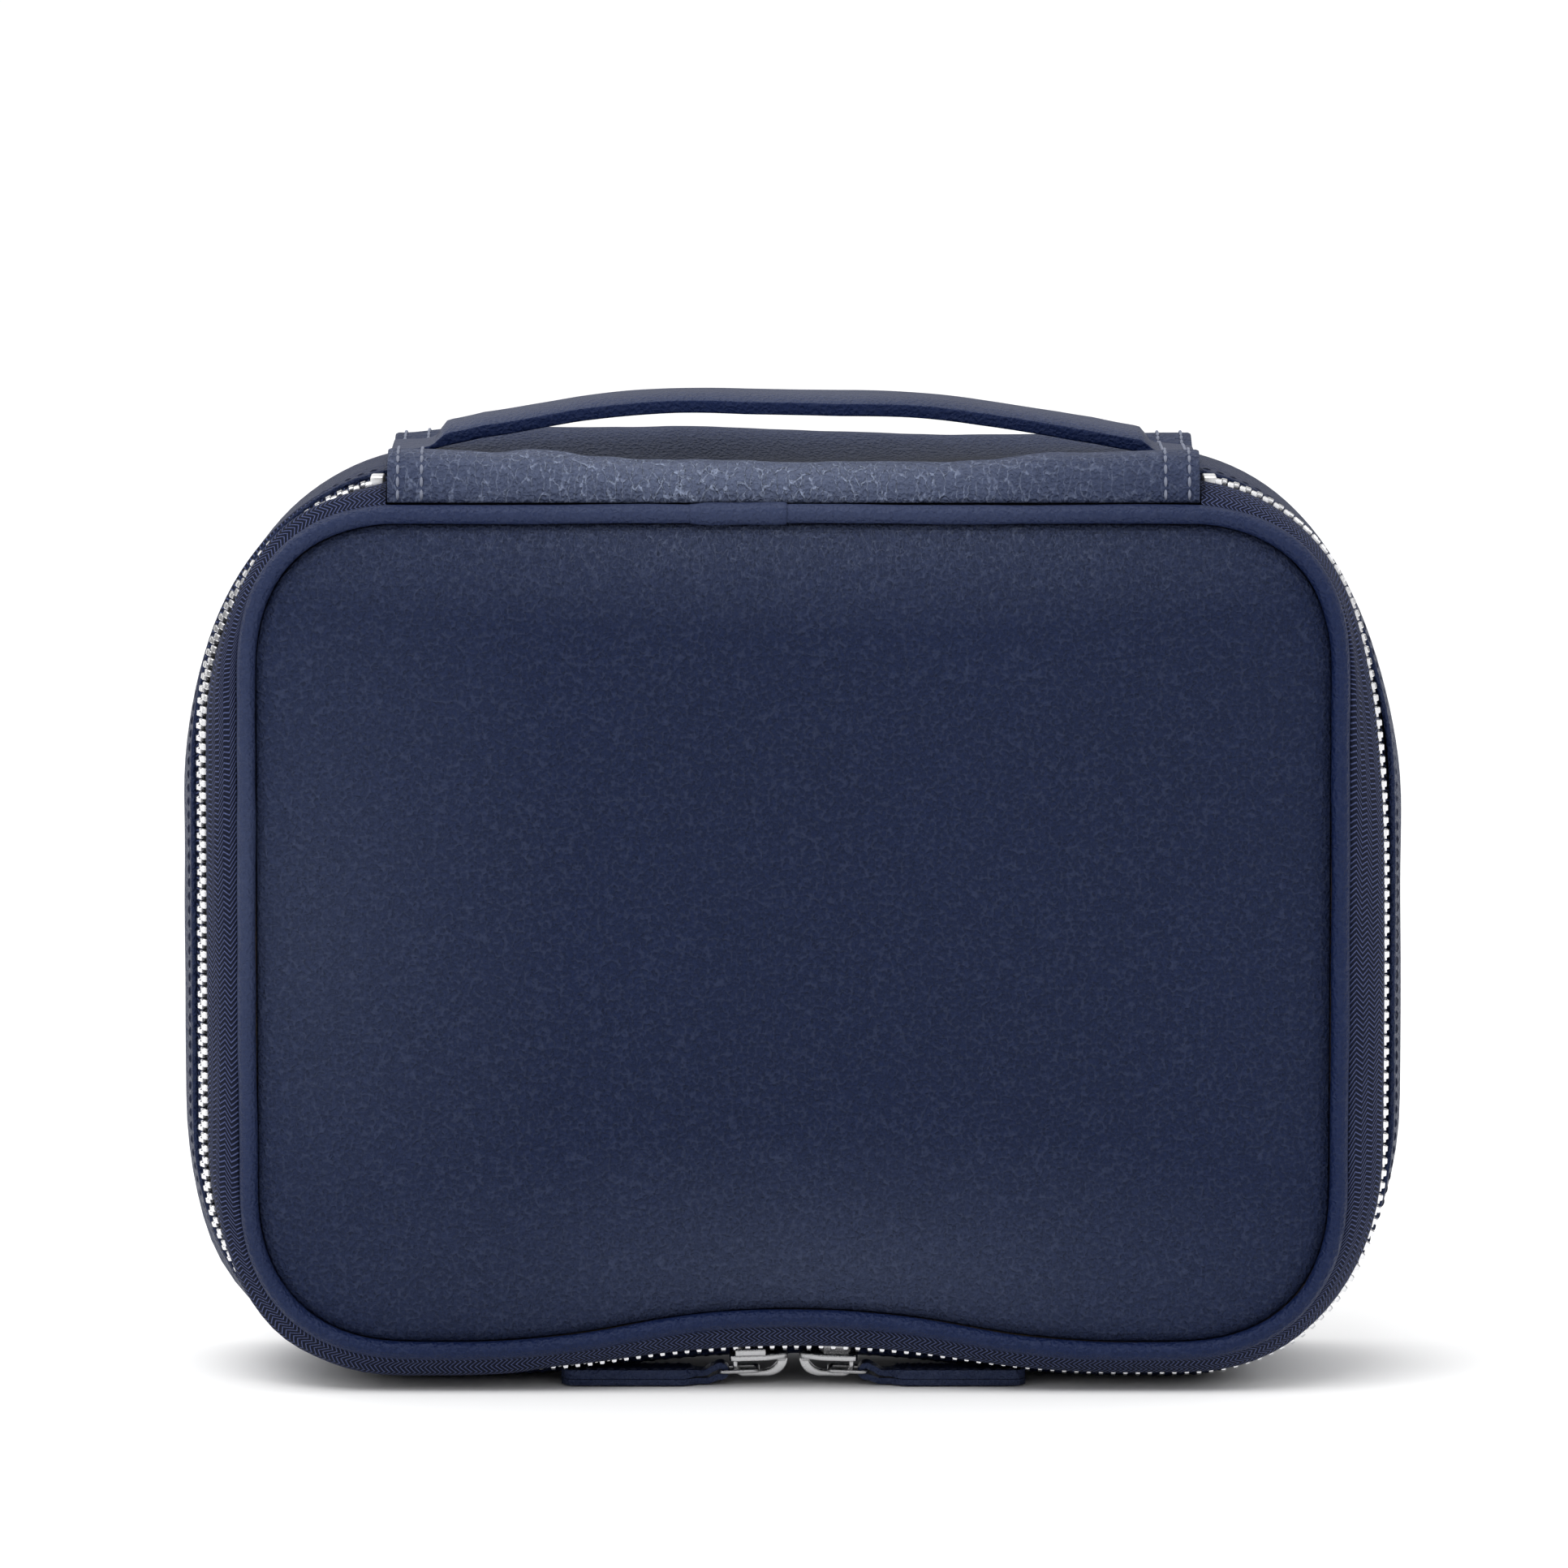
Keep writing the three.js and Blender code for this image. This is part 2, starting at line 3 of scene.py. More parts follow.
import bmesh
import bpy
import numpy as np
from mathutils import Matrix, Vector


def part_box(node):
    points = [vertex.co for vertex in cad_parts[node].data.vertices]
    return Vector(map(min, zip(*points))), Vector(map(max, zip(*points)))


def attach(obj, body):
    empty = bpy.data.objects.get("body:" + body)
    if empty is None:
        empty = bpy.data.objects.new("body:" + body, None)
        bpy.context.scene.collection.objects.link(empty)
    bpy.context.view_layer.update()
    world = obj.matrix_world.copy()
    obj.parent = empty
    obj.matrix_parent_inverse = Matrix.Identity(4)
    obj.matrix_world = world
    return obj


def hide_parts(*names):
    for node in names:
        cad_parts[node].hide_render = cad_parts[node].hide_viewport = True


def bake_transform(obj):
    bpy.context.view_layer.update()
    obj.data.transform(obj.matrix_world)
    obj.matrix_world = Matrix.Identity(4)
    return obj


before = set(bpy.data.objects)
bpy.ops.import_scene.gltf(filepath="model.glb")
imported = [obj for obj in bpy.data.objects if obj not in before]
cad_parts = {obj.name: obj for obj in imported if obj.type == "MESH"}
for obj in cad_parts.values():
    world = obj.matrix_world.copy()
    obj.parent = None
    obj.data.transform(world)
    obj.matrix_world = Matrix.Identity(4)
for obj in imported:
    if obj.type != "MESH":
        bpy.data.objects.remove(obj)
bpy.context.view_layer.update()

# Sizes are in millimetres; MM turns them into metres.
MM = 0.001
WIDE = 115.3  # half width at the piping
PIPE_TOP = 187.1
PIPE_R = 2.0
PIPE_Y = 34.5
PANEL_Y = 37.9  # where the panel's crown begins
MIDDLE_Z = 97.0
CHAIN_B = 9.0  # how far outside the piping the zip chain lies
CHAIN_Y = -22.0
TOOTH_PITCH = 2.6
SPINE_HALF = 85.4
SPINE_LEATHER_THICK = 1.25
WAIST_SKIN, WAIST_ZIP = 1.6, 2.3  # how far the right side is drawn in
SIDES = (("left", -1), ("right", 1))
rng = np.random.default_rng(11)


def unit(v):
    """Rows of v scaled to length one."""
    return v / np.linalg.norm(v, axis=-1)[..., None]


def turn(count):
    """Angles once round a circle."""
    return np.linspace(0, 2 * math.pi, count, endpoint=False)


def between(u, s, values):
    """The row of values at distance u, where s is the distance of each row."""
    return np.array([np.interp(u, s, column) for column in values.T])


def distances(points):
    """Distance of each point along a line from its first point."""
    return np.concatenate([[0], np.cumsum(np.linalg.norm(np.diff(points, axis=0), axis=1))])


# ---------------------------------------------------------------- materials
class Shader:
    """The nodes of a material or a world; main is the node that the looks go into.

    Wherever a method takes a source, it is another node's output, or a constant for its input.
    """

    def __init__(self, owner, main="Principled BSDF"):
        owner.use_nodes = True
        self.owner = owner
        self.nodes, self.links = owner.node_tree.nodes, owner.node_tree.links
        self.main = self.nodes[main]

    def feed(self, socket, source):
        if isinstance(source, bpy.types.NodeSocket):
            self.links.new(source, socket)
        else:
            socket.default_value = source

    def set(self, name, source):
        self.feed(self.main.inputs[name], source)

    def add(self, kind, **values):
        """The outputs of a new node; values are the sources of its inputs, or its own properties."""
        n = self.nodes.new("ShaderNode" + kind)
        for key, value in values.items():
            if key in n.inputs:
                self.feed(n.inputs[key], value)
            else:
                setattr(n, key, value)
        return n.outputs

    def split(self, coordinates):
        """The X, Y and Z of a kind of texture coordinates."""
        return self.add("SeparateXYZ", Vector=self.add("TexCoord")[coordinates])

    def millimetres(self):
        """Object coordinates in millimetres."""
        return self.add("Mapping", Vector=self.add("TexCoord")["Object"], Scale=(1000, 1000, 1000))[0]

    def texture(self, at, kind, **values):
        """A texture over the coordinates at."""
        return self.add("Tex" + kind, Vector=at, **values)

    def ramp(self, source, stops):
        n = self.nodes.new("ShaderNodeValToRGB")
        n.color_ramp.elements[0].position, n.color_ramp.elements[0].color = stops[0]
        n.color_ramp.elements[1].position, n.color_ramp.elements[1].color = stops[-1]
        for position, color in stops[1:-1]:
            n.color_ramp.elements.new(position).color = color
        self.links.new(source, n.inputs["Fac"])
        return n.outputs["Color"]

    def operate(self, kind, op, sources):
        n = self.nodes.new(kind)
        n.operation = op
        for socket, source in zip(n.inputs, sources):
            self.feed(socket, source)
        return n.outputs

    def math(self, op, *sources):
        return self.operate("ShaderNodeMath", op, sources)[0]

    def vector(self, op, *sources):
        return self.operate("ShaderNodeVectorMath", op, sources)["Value" if op == "LENGTH" else "Vector"]

    def reach(self, at, centre, half):
        """Distance from a centre as a share of the half sizes, both in mm."""
        return self.vector("LENGTH", self.vector("DIVIDE", self.vector("SUBTRACT", at, centre), half))

    def bump(self, height, distance, strength, **after):
        return self.add("Bump", Height=height, Distance=distance, Strength=strength, **after)["Normal"]


NAVY = (0.0050, 0.0108, 0.045)


def grey(v):
    return (v, v, v, 1)


def scaled(color, k):
    return tuple(min(c * k, 1) for c in color) + (1,)


def leather(name, rough, grain, creases, stretch, where, shine, paling=0.0, painted_highlights=()):
    """Pebbled leather with fine light veins, whose cells are 1/stretch mm wide.

    The veins and a paler look are strongest inside `where` (centre, half size in mm); that paler look is a
    painted highlight.
    More painted highlights and painted reflections are listed last, each as (centre, half size, amount).
    """
    m = Shader(bpy.data.materials.new(name))
    at = m.millimetres()
    wobble = m.texture(at, "Noise", Scale=0.7, Detail=3.0)
    shift = m.vector("MULTIPLY_ADD", wobble["Color"], (1.6, 1.6, 1.6), at)
    pebble = m.texture(shift, "Voronoi", feature="SMOOTH_F1", Scale=1.15, Smoothness=0.35)
    fine = m.texture(at, "Noise", Scale=2.6, Detail=4.0, Roughness=0.65)
    slow = m.texture(at, "Noise", Scale=0.02, Detail=2.0, Roughness=0.5)
    patchy = m.math("MULTIPLY_ADD", slow["Fac"], 0.4, fine["Fac"])
    tone = m.ramp(patchy, [(0.45, scaled(NAVY, 0.84)), (0.95, scaled(NAVY, 1.16))])
    spread = m.ramp(fine["Fac"], [(0.3, grey(rough - 0.05)), (0.72, grey(rough + 0.08))])
    m.set("Roughness", spread)
    m.set("Specular IOR Level", shine)
    m.set("Specular Tint", (0.62, 0.73, 1.0, 1))
    normal = m.bump(pebble["Distance"], 0.0009 * grain, 0.9)
    normal = m.bump(fine["Fac"], 0.00045 * grain, 0.8, Normal=normal)
    slanted = m.add("Mapping", Vector=shift, Scale=stretch, Rotation=(0, 0.22, 0))[0]
    cells = m.texture(slanted, "Voronoi", feature="DISTANCE_TO_EDGE", Scale=1.0)
    line = [(0.0, grey(1)), (0.035, grey(0.8)), (0.08, grey(0))]
    vein = m.ramp(cells["Distance"], line)
    broken = m.ramp(wobble["Fac"], [(0.36, grey(0)), (0.60, grey(1))])
    ridge = m.math("MULTIPLY", vein, broken)
    amount = m.math("MULTIPLY", slow["Fac"], 0.5)
    if where is not None:
        reach = m.reach(at, *where)
        amount = m.ramp(reach, [(0.2, grey(1)), (0.6, grey(0.35)), (1.0, grey(0.04))])
        dull = m.math("MULTIPLY_ADD", amount, -0.2, 0.2)
        m.set("Roughness", m.math("ADD", spread, dull))
    worn = m.math("MULTIPLY", ridge, amount)
    # Pale colour mixed in over the crease veins and over the painted highlights.
    pale = m.nodes.new("ShaderNodeMix")
    pale.data_type = "RGBA"
    pale.inputs[7].default_value = (0.24, 0.28, 0.40, 1)
    # Painted highlight: paler where `where` is strong, or paler at random without it; the pebble gaps add a
    # little paler grain.
    grain_tone_and_painted_highlight = m.math("MULTIPLY", amount, paling)
    gaps = m.ramp(pebble["Distance"], [(0.50, grey(0)), (0.78, grey(1))])
    grain_tone_and_painted_highlight = m.math("MULTIPLY_ADD", gaps, 0.035 * grain, grain_tone_and_painted_highlight)
    # Each listed place is a painted highlight or painted reflection: paler colour there.
    for centre, half, share in painted_highlights:
        reach = m.reach(at, centre, half)
        place = m.ramp(reach, [(0.1, grey(1)), (0.55, grey(0.4)), (1.0, grey(0))])
        grain_tone_and_painted_highlight = m.math("MULTIPLY_ADD", place, share, grain_tone_and_painted_highlight)
    m.feed(pale.inputs[0], m.math("MULTIPLY_ADD", worn, min(0.6 * creases, 1), grain_tone_and_painted_highlight))
    m.feed(pale.inputs[6], tone)
    m.set("Base Color", pale.outputs[2])
    m.set("Normal", m.bump(ridge, 0.0005 * creases, amount, Normal=normal))
    return m.owner


def woven_tape(name, color):
    """Herringbone tape: the UV map is millimetres along and across the tape."""
    m = Shader(bpy.data.materials.new(name))
    along, across, _ = m.split("UV")
    column_width, stroke = 1.6, 1.1
    column = m.math("DIVIDE", across, column_width)
    tri = m.math("PINGPONG", column, 1.0)
    slanted = m.math("ADD", along, m.math("MULTIPLY", tri, 1.5))
    wave = m.math("SINE", m.math("MULTIPLY", slanted, 2 * math.pi / stroke))
    height = m.math("MULTIPLY_ADD", wave, 0.5, 0.5)
    fibre = m.texture(m.millimetres(), "Noise", Scale=4.0, Detail=4.0)
    mixed = m.math("MULTIPLY_ADD", fibre["Fac"], 0.5, height)
    mixed = m.math("MULTIPLY", mixed, 0.7)
    light = tuple(c * 5 + 0.055 for c in color) + (1,)
    stops = [(0.5, scaled(color, 0.45)), (0.72, scaled(color, 1)), (0.9, light)]
    m.set("Base Color", m.ramp(mixed, stops))
    m.set("Roughness", 0.8)
    m.set("Specular IOR Level", 0.12)
    m.set("Sheen Weight", 0.03)
    m.set("Normal", m.bump(mixed, 0.00025, 0.9))
    return m.owner


def suede(name, color):
    m = Shader(bpy.data.materials.new(name))
    at = m.millimetres()
    nap = m.texture(at, "Noise", Scale=2.2, Detail=6.0, Roughness=0.7)
    slow = m.texture(at, "Noise", Scale=0.06, Detail=3.0)
    both = m.math("MULTIPLY_ADD", slow["Fac"], 0.8, nap["Fac"])
    stops = [(0.6, scaled(color, 0.7)), (1.2, scaled(color, 1.25))]
    m.set("Base Color", m.ramp(both, stops))
    m.set("Roughness", 0.93)
    m.set("Sheen Weight", 0.5)
    m.set("Normal", m.bump(nap["Fac"], 0.0003, 0.6))
    return m.owner


def metal(name, color, rough):
    m = Shader(bpy.data.materials.new(name))
    at = m.millimetres()
    scratch = m.texture(at, "Noise", Scale=2.0, Detail=6.0, Roughness=0.7)
    spread = m.ramp(scratch["Fac"], [(0.3, grey(rough)), (0.75, grey(rough + 0.16))])
    m.set("Roughness", spread)
    stops = [(0.35, scaled(color, 0.86)), (0.6, scaled(color, 1))]
    m.set("Base Color", m.ramp(scratch["Fac"], stops))
    m.set("Metallic", 1.0)
    m.set("Normal", m.bump(scratch["Fac"], 0.00003, 0.4))
    return m.owner


def thread(name, color):
    m = Shader(bpy.data.materials.new(name))
    at = m.millimetres()
    twist = m.texture(at, "Wave", Scale=2.6, Distortion=1.0)
    stops = [(0.1, scaled(color, 0.55)), (0.8, scaled(color, 1))]
    m.set("Base Color", m.ramp(twist["Fac"], stops))
    m.set("Roughness", 0.6)
    m.set("Normal", m.bump(twist["Fac"], 0.00012, 0.8))
    return m.owner


def foam_or_board(name, color, scale):
    m = Shader(bpy.data.materials.new(name))
    cells = m.texture(m.millimetres(), "Voronoi", Scale=scale)
    stops = [(0.1, scaled(color, 0.7)), (0.6, scaled(color, 1))]
    m.set("Base Color", m.ramp(cells["Distance"], stops))
    m.set("Roughness", 0.95)
    m.set("Normal", m.bump(cells["Distance"], 0.0003, 0.6))
    return m.owner


# Front panel: painted highlight along the top band, painted reflection of the floor along the bottom, painted
# light down the left side.
PANEL = leather(
    "panel_leather", 0.43, 1.5, 0.55, (1.1, 0.5, 0.34), ((0, -38, 194), (180, 60, 32)), 0.28, 0.15,
    [((10, -38, 24), (115, 60, 34), 0.10), ((-106, -38, 100), (60, 60, 110), 0.06)],
)
BACK_LEATHER = leather("back_leather", 0.45, 1.0, 0.3, (0.8, 0.5, 0.2), None, 0.26)
GUSSET_LEATHER = leather("gusset_leather", 0.42, 0.9, 0.2, (0.3, 0.3, 0.3), None, 0.3)
# Spine: crease veins and a painted highlight along its front, where the top light falls.
SPINE_LEATHER = leather(
    "spine_leather", 0.37, 1.0, 1.5, (0.55, 0.30, 0.17), ((-14, -30, 195), (118, 17, 26)), 0.55, 0.26
)
# Piping: painted highlights along its top and its left side.
PIPE_LEATHER = leather(
    "piping_leather", 0.33, 0.45, 0.1, (0.5, 0.5, 0.5), None, 0.24, 0.0,
    [((0, -35, 196), (140, 60, 40), 0.09), ((-112, -35, 110), (50, 60, 110), 0.08)],
)
# Strap leather, also on the tabs and hook straps, with a little random paling; the next material is its
# duller copy without paling, a painted shade for the strap's sides and underside.
STRAP_LEATHER = leather("strap_leather", 0.36, 0.5, 0.25, (0.9, 0.9, 0.9), None, 0.38, 0.16)
STRAP_SHADED_SIDES = leather("strap_shaded_sides", 0.4, 0.4, 0.1, (0.9, 0.9, 0.9), None, 0.15)
TAPE = woven_tape("zip_tape", (0.005, 0.009, 0.032))
NICKEL = metal("zip_nickel", (0.80, 0.80, 0.82), 0.16)
SLIDER_METAL = metal("slider_nickel", (0.52, 0.52, 0.53), 0.17)
STOP = metal("stop_metal", (0.93, 0.93, 0.94), 0.3)
SUEDE = suede("suede", (0.30, 0.31, 0.36))
ROLL = suede("roll_suede", (0.36, 0.37, 0.43))
THREAD = thread("thread", (0.016, 0.022, 0.06))
PALE_THREAD = thread("pale_thread", (0.30, 0.33, 0.44))
FOAM = foam_or_board("foam", (0.62, 0.56, 0.38), 1.6)
BOARD = foam_or_board("board", (0.26, 0.20, 0.13), 0.8)


# ---------------------------------------------------------------- mesh helpers
def mesh_object(name, verts, faces, mat, body, uvs=None, flat=False):
    """A mesh from points in mm, riding on body if one is given."""
    me = bpy.data.meshes.new(name)
    me.from_pydata([tuple(v) for v in np.asarray(verts, float) * MM], [], [tuple(f) for f in faces])
    me.validate()
    me.materials.append(mat)
    if uvs is not None:
        layer = me.uv_layers.new(name="mm")
        index = np.empty(len(me.loops), dtype=int)
        me.loops.foreach_get("vertex_index", index)
        layer.data.foreach_set("uv", np.asarray(uvs, float)[index].ravel())
    ob = bpy.data.objects.new(name, me)
    bpy.context.scene.collection.objects.link(ob)
    if not flat:
        me.polygons.foreach_set("use_smooth", [True] * len(me.polygons))
    recalc(me)
    if body:
        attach(ob, body)
    return ob


def recalc(me, closing=()):
    """Turns all faces outward, after adding one through the points in closing."""
    bm = bmesh.new()
    bm.from_mesh(me)
    if closing:
        bm.verts.ensure_lookup_table()
        bm.faces.new([bm.verts[i] for i in closing]).smooth = True
    bmesh.ops.recalc_face_normals(bm, faces=bm.faces)
    bm.to_mesh(me)
    bm.free()


def stands_for(ob, slot, *nodes):
    """The piece takes the place of CAD nodes, which it hides; slot is not used."""
    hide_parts(*nodes)


def grid_faces(rows, cols, wrap_rows=False, wrap_cols=False):
    """Quads over a grid of points, row by row."""
    faces = []
    for r in range(rows if wrap_rows else rows - 1):
        r2 = (r + 1) % rows
        for c in range(cols if wrap_cols else cols - 1):
            c2 = (c + 1) % cols
            faces.append((r * cols + c, r * cols + c2, r2 * cols + c2, r2 * cols + c))
    return faces


def skin(name, rings, mat, body, caps=True, joined=False, uvs=None):
    """A tube through rings, an array of shape (rings, points, 3) in mm; joined makes it an endless one."""
    rings = np.asarray(rings, float)
    r, c = rings.shape[:2]
    faces = grid_faces(r, c, joined, True)
    if caps and not joined:
        faces.append(tuple(range(c - 1, -1, -1)))
        faces.append(tuple((r - 1) * c + i for i in range(c)))
    return mesh_object(name, rings.reshape(-1, 3), faces, mat, body, uvs)


def soften(ob, width, segments=2, angle=40):
    mod = ob.modifiers.new("soft edges", "BEVEL")
    mod.width = width * MM
    mod.segments = segments
    mod.limit_method = "ANGLE"
    mod.angle_limit = math.radians(angle)
    mod.harden_normals = False
    return ob


def waves(points, scale, seed, count=10):
    """Smooth pseudo-random field from -1 to 1 over points in mm; scale is the wavelength on each axis."""
    r = np.random.default_rng(seed)
    out = np.zeros(len(points))
    for _ in range(count):
        k = r.normal(size=3) / np.asarray(scale, float) * 2.2
        out += np.sin(points @ k + r.uniform(0, 2 * math.pi))
    return out / math.sqrt(count / 2) / 1.6


def smooth(t):
    t = np.clip(t, 0, 1)
    return t * t * (3 - 2 * t)


# ---------------------------------------------------------------- the case's outline
SEGS = {"top": 34, "shoulder": 2, "corner": 26, "side": 40, "heel": 18, "flat": 4, "arch": 34}


def outline(b, top_limit=None):
    """Points and outward normals round the case b mm outside the piping, clockwise from the top centre."""
    w, top, low = WIDE + 1.05 * b, PIPE_TOP + 0.72 * b, max(9 - 0.66 * b, 0)
    if top_limit is not None:
        top = min(top, top_limit)
    if b > 0:
        tx, tz = 35 + b + 0.028 * b * b, 35 + 1.7 * b + 0.074 * b * b
        lx, lz = 36 + 0.1 * b + 0.065 * b * b, 36 + 1.1 * b + 0.05 * b * b
        power, rise = 2.4 - 0.025 * b, 7 - 0.17 * b
    else:
        tx = tz = max(35 + 0.8 * b, 8)
        lx = lz = max(36 + 0.4 * b, 10)
        power, rise = 2.4, 7 * max(0, 1 + b / 60)
    half = min(72, w - lx - 0.5)
    spine_end = SPINE_HALF + 0.3
    shoulder = [math.acos(((x - w + tx) / tx) ** (power / 2)) for x in (spine_end, spine_end + 3.2)]

    def line(p, q, n):
        t = np.arange(n)[:, None] / n
        return np.array(p) * (1 - t) + np.array(q) * t

    def arc(cx, cz, rx, rz, start, end, n):
        a = np.radians(start + (end - start) * np.arange(n) / n)
        u, v = np.abs(np.cos(a)) ** (2 / power), np.abs(np.sin(a)) ** (2 / power)
        return np.column_stack([cx + rx * u, cz + rz * v * np.sign(np.sin(a))])

    f = 1 - np.arange(SEGS["arch"]) / SEGS["arch"]
    lift = np.where(f < 0.5, 1 - 2 * f * f, 2 * (1 - f) ** 2)
    right = np.vstack(
        [
            line((0, top), (spine_end, top - tz * (1 - math.sin(shoulder[0]) ** (2 / power))), SEGS["top"]),
            arc(w - tx, top - tz, tx, tz, *np.degrees(shoulder), SEGS["shoulder"]),
            arc(w - tx, top - tz, tx, tz, math.degrees(shoulder[1]), 0, SEGS["corner"]),
            line((w, top - tz), (w, low + lz), SEGS["side"]),
            arc(w - lx, low + lz, lx, lz, 0, -90, SEGS["heel"]),
            line((w - lx, low), (half, low), SEGS["flat"]),
            np.column_stack([f * half, low + rise * lift]),
        ]
    )
    left = right[1:][::-1] * [-1, 1]
    pts = np.vstack([right, [[0, low + rise]], left])
    d = unit(np.roll(pts, -1, 0) - np.roll(pts, 1, 0))
    return pts, np.column_stack([-d[:, 1], d[:, 0]])


COUNT = len(outline(0)[0])
U = slice(SEGS["top"], COUNT - SEGS["top"] + 1)  # the stations outside the spine


def at_depth(points, y):
    """Points or directions in the x-z plane as 3-D ones."""
    return np.column_stack([points[:, 0], np.full(len(points), y), points[:, 1]])


def push(points, normals, by):
    """Moves 3-D points in place along directions in the x-z plane."""
    points[..., 0] += by * normals[:, 0]
    points[..., 2] += by * normals[:, 1]


def ring(b, n, y, top_limit=None):
    """3-D points round the outline at b, moved n mm along its normal, at depth y."""
    p, m = outline(b, top_limit)
    return at_depth(p + m * n, y)


def spread_line(points, count):
    """A smooth curve through control points, resampled to count points."""
    points = np.asarray(points, float)
    t = distances(points)
    u = np.linspace(0, t[-1], count)
    ext = np.vstack([2 * points[0] - points[1], points, 2 * points[-1] - points[-2]])
    out = []
    for v in u:
        i = min(int(np.searchsorted(t, v, side="right")) - 1, len(points) - 2)
        s = (v - t[i]) / (t[i + 1] - t[i])
        a, b, c, d = ext[i : i + 4]
        curve = (2 * a - 5 * b + 4 * c - d) * s**2 + (3 * b - 3 * c + d - a) * s**3
        out.append(0.5 * (2 * b + (c - a) * s + curve))
    return np.array(out)


def offset_line(line, t):
    """Points beside a line of (out, y) points, t mm outward."""
    d = unit(np.gradient(line, axis=0))
    return np.column_stack([d[:, 1], -d[:, 0]]) * t


def toward(rim, centre, steps):
    """Rings that shrink from a rim towards a centre, with the share of the way for each."""
    return [(f, centre + (rim - centre) * f) for f in steps]


def zip_tilt():
    """How far the chain leans at each station, in radians: the left side faces the front more."""
    normals = outline(CHAIN_B)[1][:, 0]
    return np.radians(np.abs(normals) * (4 - 9 * normals))


def tuck():
    """How far the chain sinks behind the front tape: at the left corners and low on the left."""
    p, m = outline(CHAIN_B)
    left = np.clip(-m[:, 0] * 1.5, 0, 1) * (1 - np.abs(m[:, 0]) ** 5)
    low = smooth((-p[:, 0] - 42) / 20) * np.clip(-m[:, 1], 0, 1)
    under = 0.45 * np.clip(-m[:, 1], 0, 1) ** 2
    return np.maximum(2.1 * np.maximum(left, 0.7 * low) * np.where(p[:, 1] > 100, 0.85, 1), under)


def waist(p, m, depth):
    """The right side is drawn in by up to depth mm below its upper corner."""
    return depth * np.clip(m[:, 0], 0, 1) * np.exp(-(((p[:, 1] - 154) / 24) ** 2))


# ---------------------------------------------------------------- panels and piping
def panel(side, body, node):
    """Leather over foam and board: rolled at the edge, crowned in the middle, with slow lumps."""
    edge = [(-1.95, 33.4), (-2.3, 34.1), (-3.3, 35.0), (-5.3, 35.9), (-8.5, 36.7), (-13, 37.4)]
    edge.append((-20, PANEL_Y))
    rim = [ring(0, n, side * y) for n, y in edge]
    for f, p in toward(rim[-1], np.array([0, side * PANEL_Y, MIDDLE_Z]), np.linspace(1, 0.03, 34)[1:]):
        p[:, 1] = side * (PANEL_Y + 0.7 * (1 - f**2))
        rim.append(p)
    outer = np.array(rim)
    flat = outer.reshape(-1, 3)
    depth = np.clip((WIDE - 0.3 - np.abs(flat[:, 0])) / 14, 0, 1)
    depth *= np.clip((PIPE_TOP - 1.1 - flat[:, 2]) / 14, 0, 1) * np.clip((flat[:, 2] - 12) / 14, 0, 1)
    lump = waves(flat, (46, 46, 60), 3 if side < 0 else 4) * 0.30
    pleat = waves(flat, (14, 60, 60), 5) * 0.10 * np.clip((flat[:, 2] - 140) / 40, 0, 1)
    flat[:, 1] += side * depth * (0.7 * lump + pleat - 0.12)
    outer = flat.reshape(outer.shape)
    inside = outer.copy()
    inside[:, :, 1] -= side * 0.8
    inside[:4] = ring(0, -3.3, side * 33.4)
    for i, y in enumerate((33.4, 33.8, 34.4, 35.2)):
        inside[i, :, 1] = side * y
    rings = np.concatenate([inside[::-1], outer])
    ob = skin(node.replace("_leather", ""), rings, PANEL if side < 0 else BACK_LEATHER, body)
    stands_for(ob, "navy leather", node)


def tube(path, radius, normals, name, body, sides=14, closed=False):
    """A leather cord along path; normals are its outward directions in the x-z plane."""
    a = turn(sides)[None, :, None]
    around = np.cos(a) * normals[:, None] + np.sin(a) * np.array([0, 1.0, 0])
    return skin(name, path[:, None] + radius[:, None, None] * around, PIPE_LEATHER, body, joined=closed)


SLEEVE = (-21.8, -1.4)


def piping(prefix, side, body):
    """The cord round a panel and the sleeve over its joint."""
    pts, nrm = outline(0)
    path = at_depth(pts, side * PIPE_Y)
    wob = waves(path, (30, 30, 30), 8) * 0.12
    radius = PIPE_R + waves(path, (9, 9, 9), 9) * 0.05
    push(path, nrm, wob)
    ob = tube(path, radius, at_depth(nrm, 0.0), f"{prefix}_piping", body, closed=True)
    stands_for(ob, "navy leather", f"{prefix}_piping")
    t = np.linspace(0, 1, 40)
    r = PIPE_R + 0.10 + 0.28 * smooth(t * 5) + 0.05 * np.sin(t * 9)
    r[-1] -= 0.15
    x = SLEEVE[0] + (SLEEVE[1] - SLEEVE[0]) * t
    path = np.column_stack([x, np.full(40, side * PIPE_Y), PIPE_TOP + 0.15 * t])
    ob = tube(path, r, np.tile([0, 0, 1.0], (40, 1)), f"{prefix}_piping_sleeve", body, sides=18)
    stands_for(ob, "navy leather", f"{prefix}_piping_sleeve")


panel(-1, "lid", "front_panel_leather")
panel(1, "base", "back_panel_leather")
piping("front", -1, "lid")
piping("back", 1, "base")

# ---------------------------------------------------------------- gusset
# (distance outside the piping, y) across the gusset, from the zip to the back piping
GUSSET = [(11.9, -17.3), (13, -13), (13.7, -9.5), (13.9, 2), (13.7, 14), (12.8, 19), (10.2, 25.2)]
GUSSET += [(6.8, 30), (3.4, 32.6), (1.7, 33.7)]
GUSSET_THICK, BOARD_FACE, BOARD_BACK = 1.2, 1.45, 3.2


def strip_rings(line, t, where):
    """Rails of a strip: one ring per point of line, offset t mm outward."""
    off = offset_line(line, t)
    return np.array([ring(b, db, y + dy)[where] for (b, y), (db, dy) in zip(line, off)])


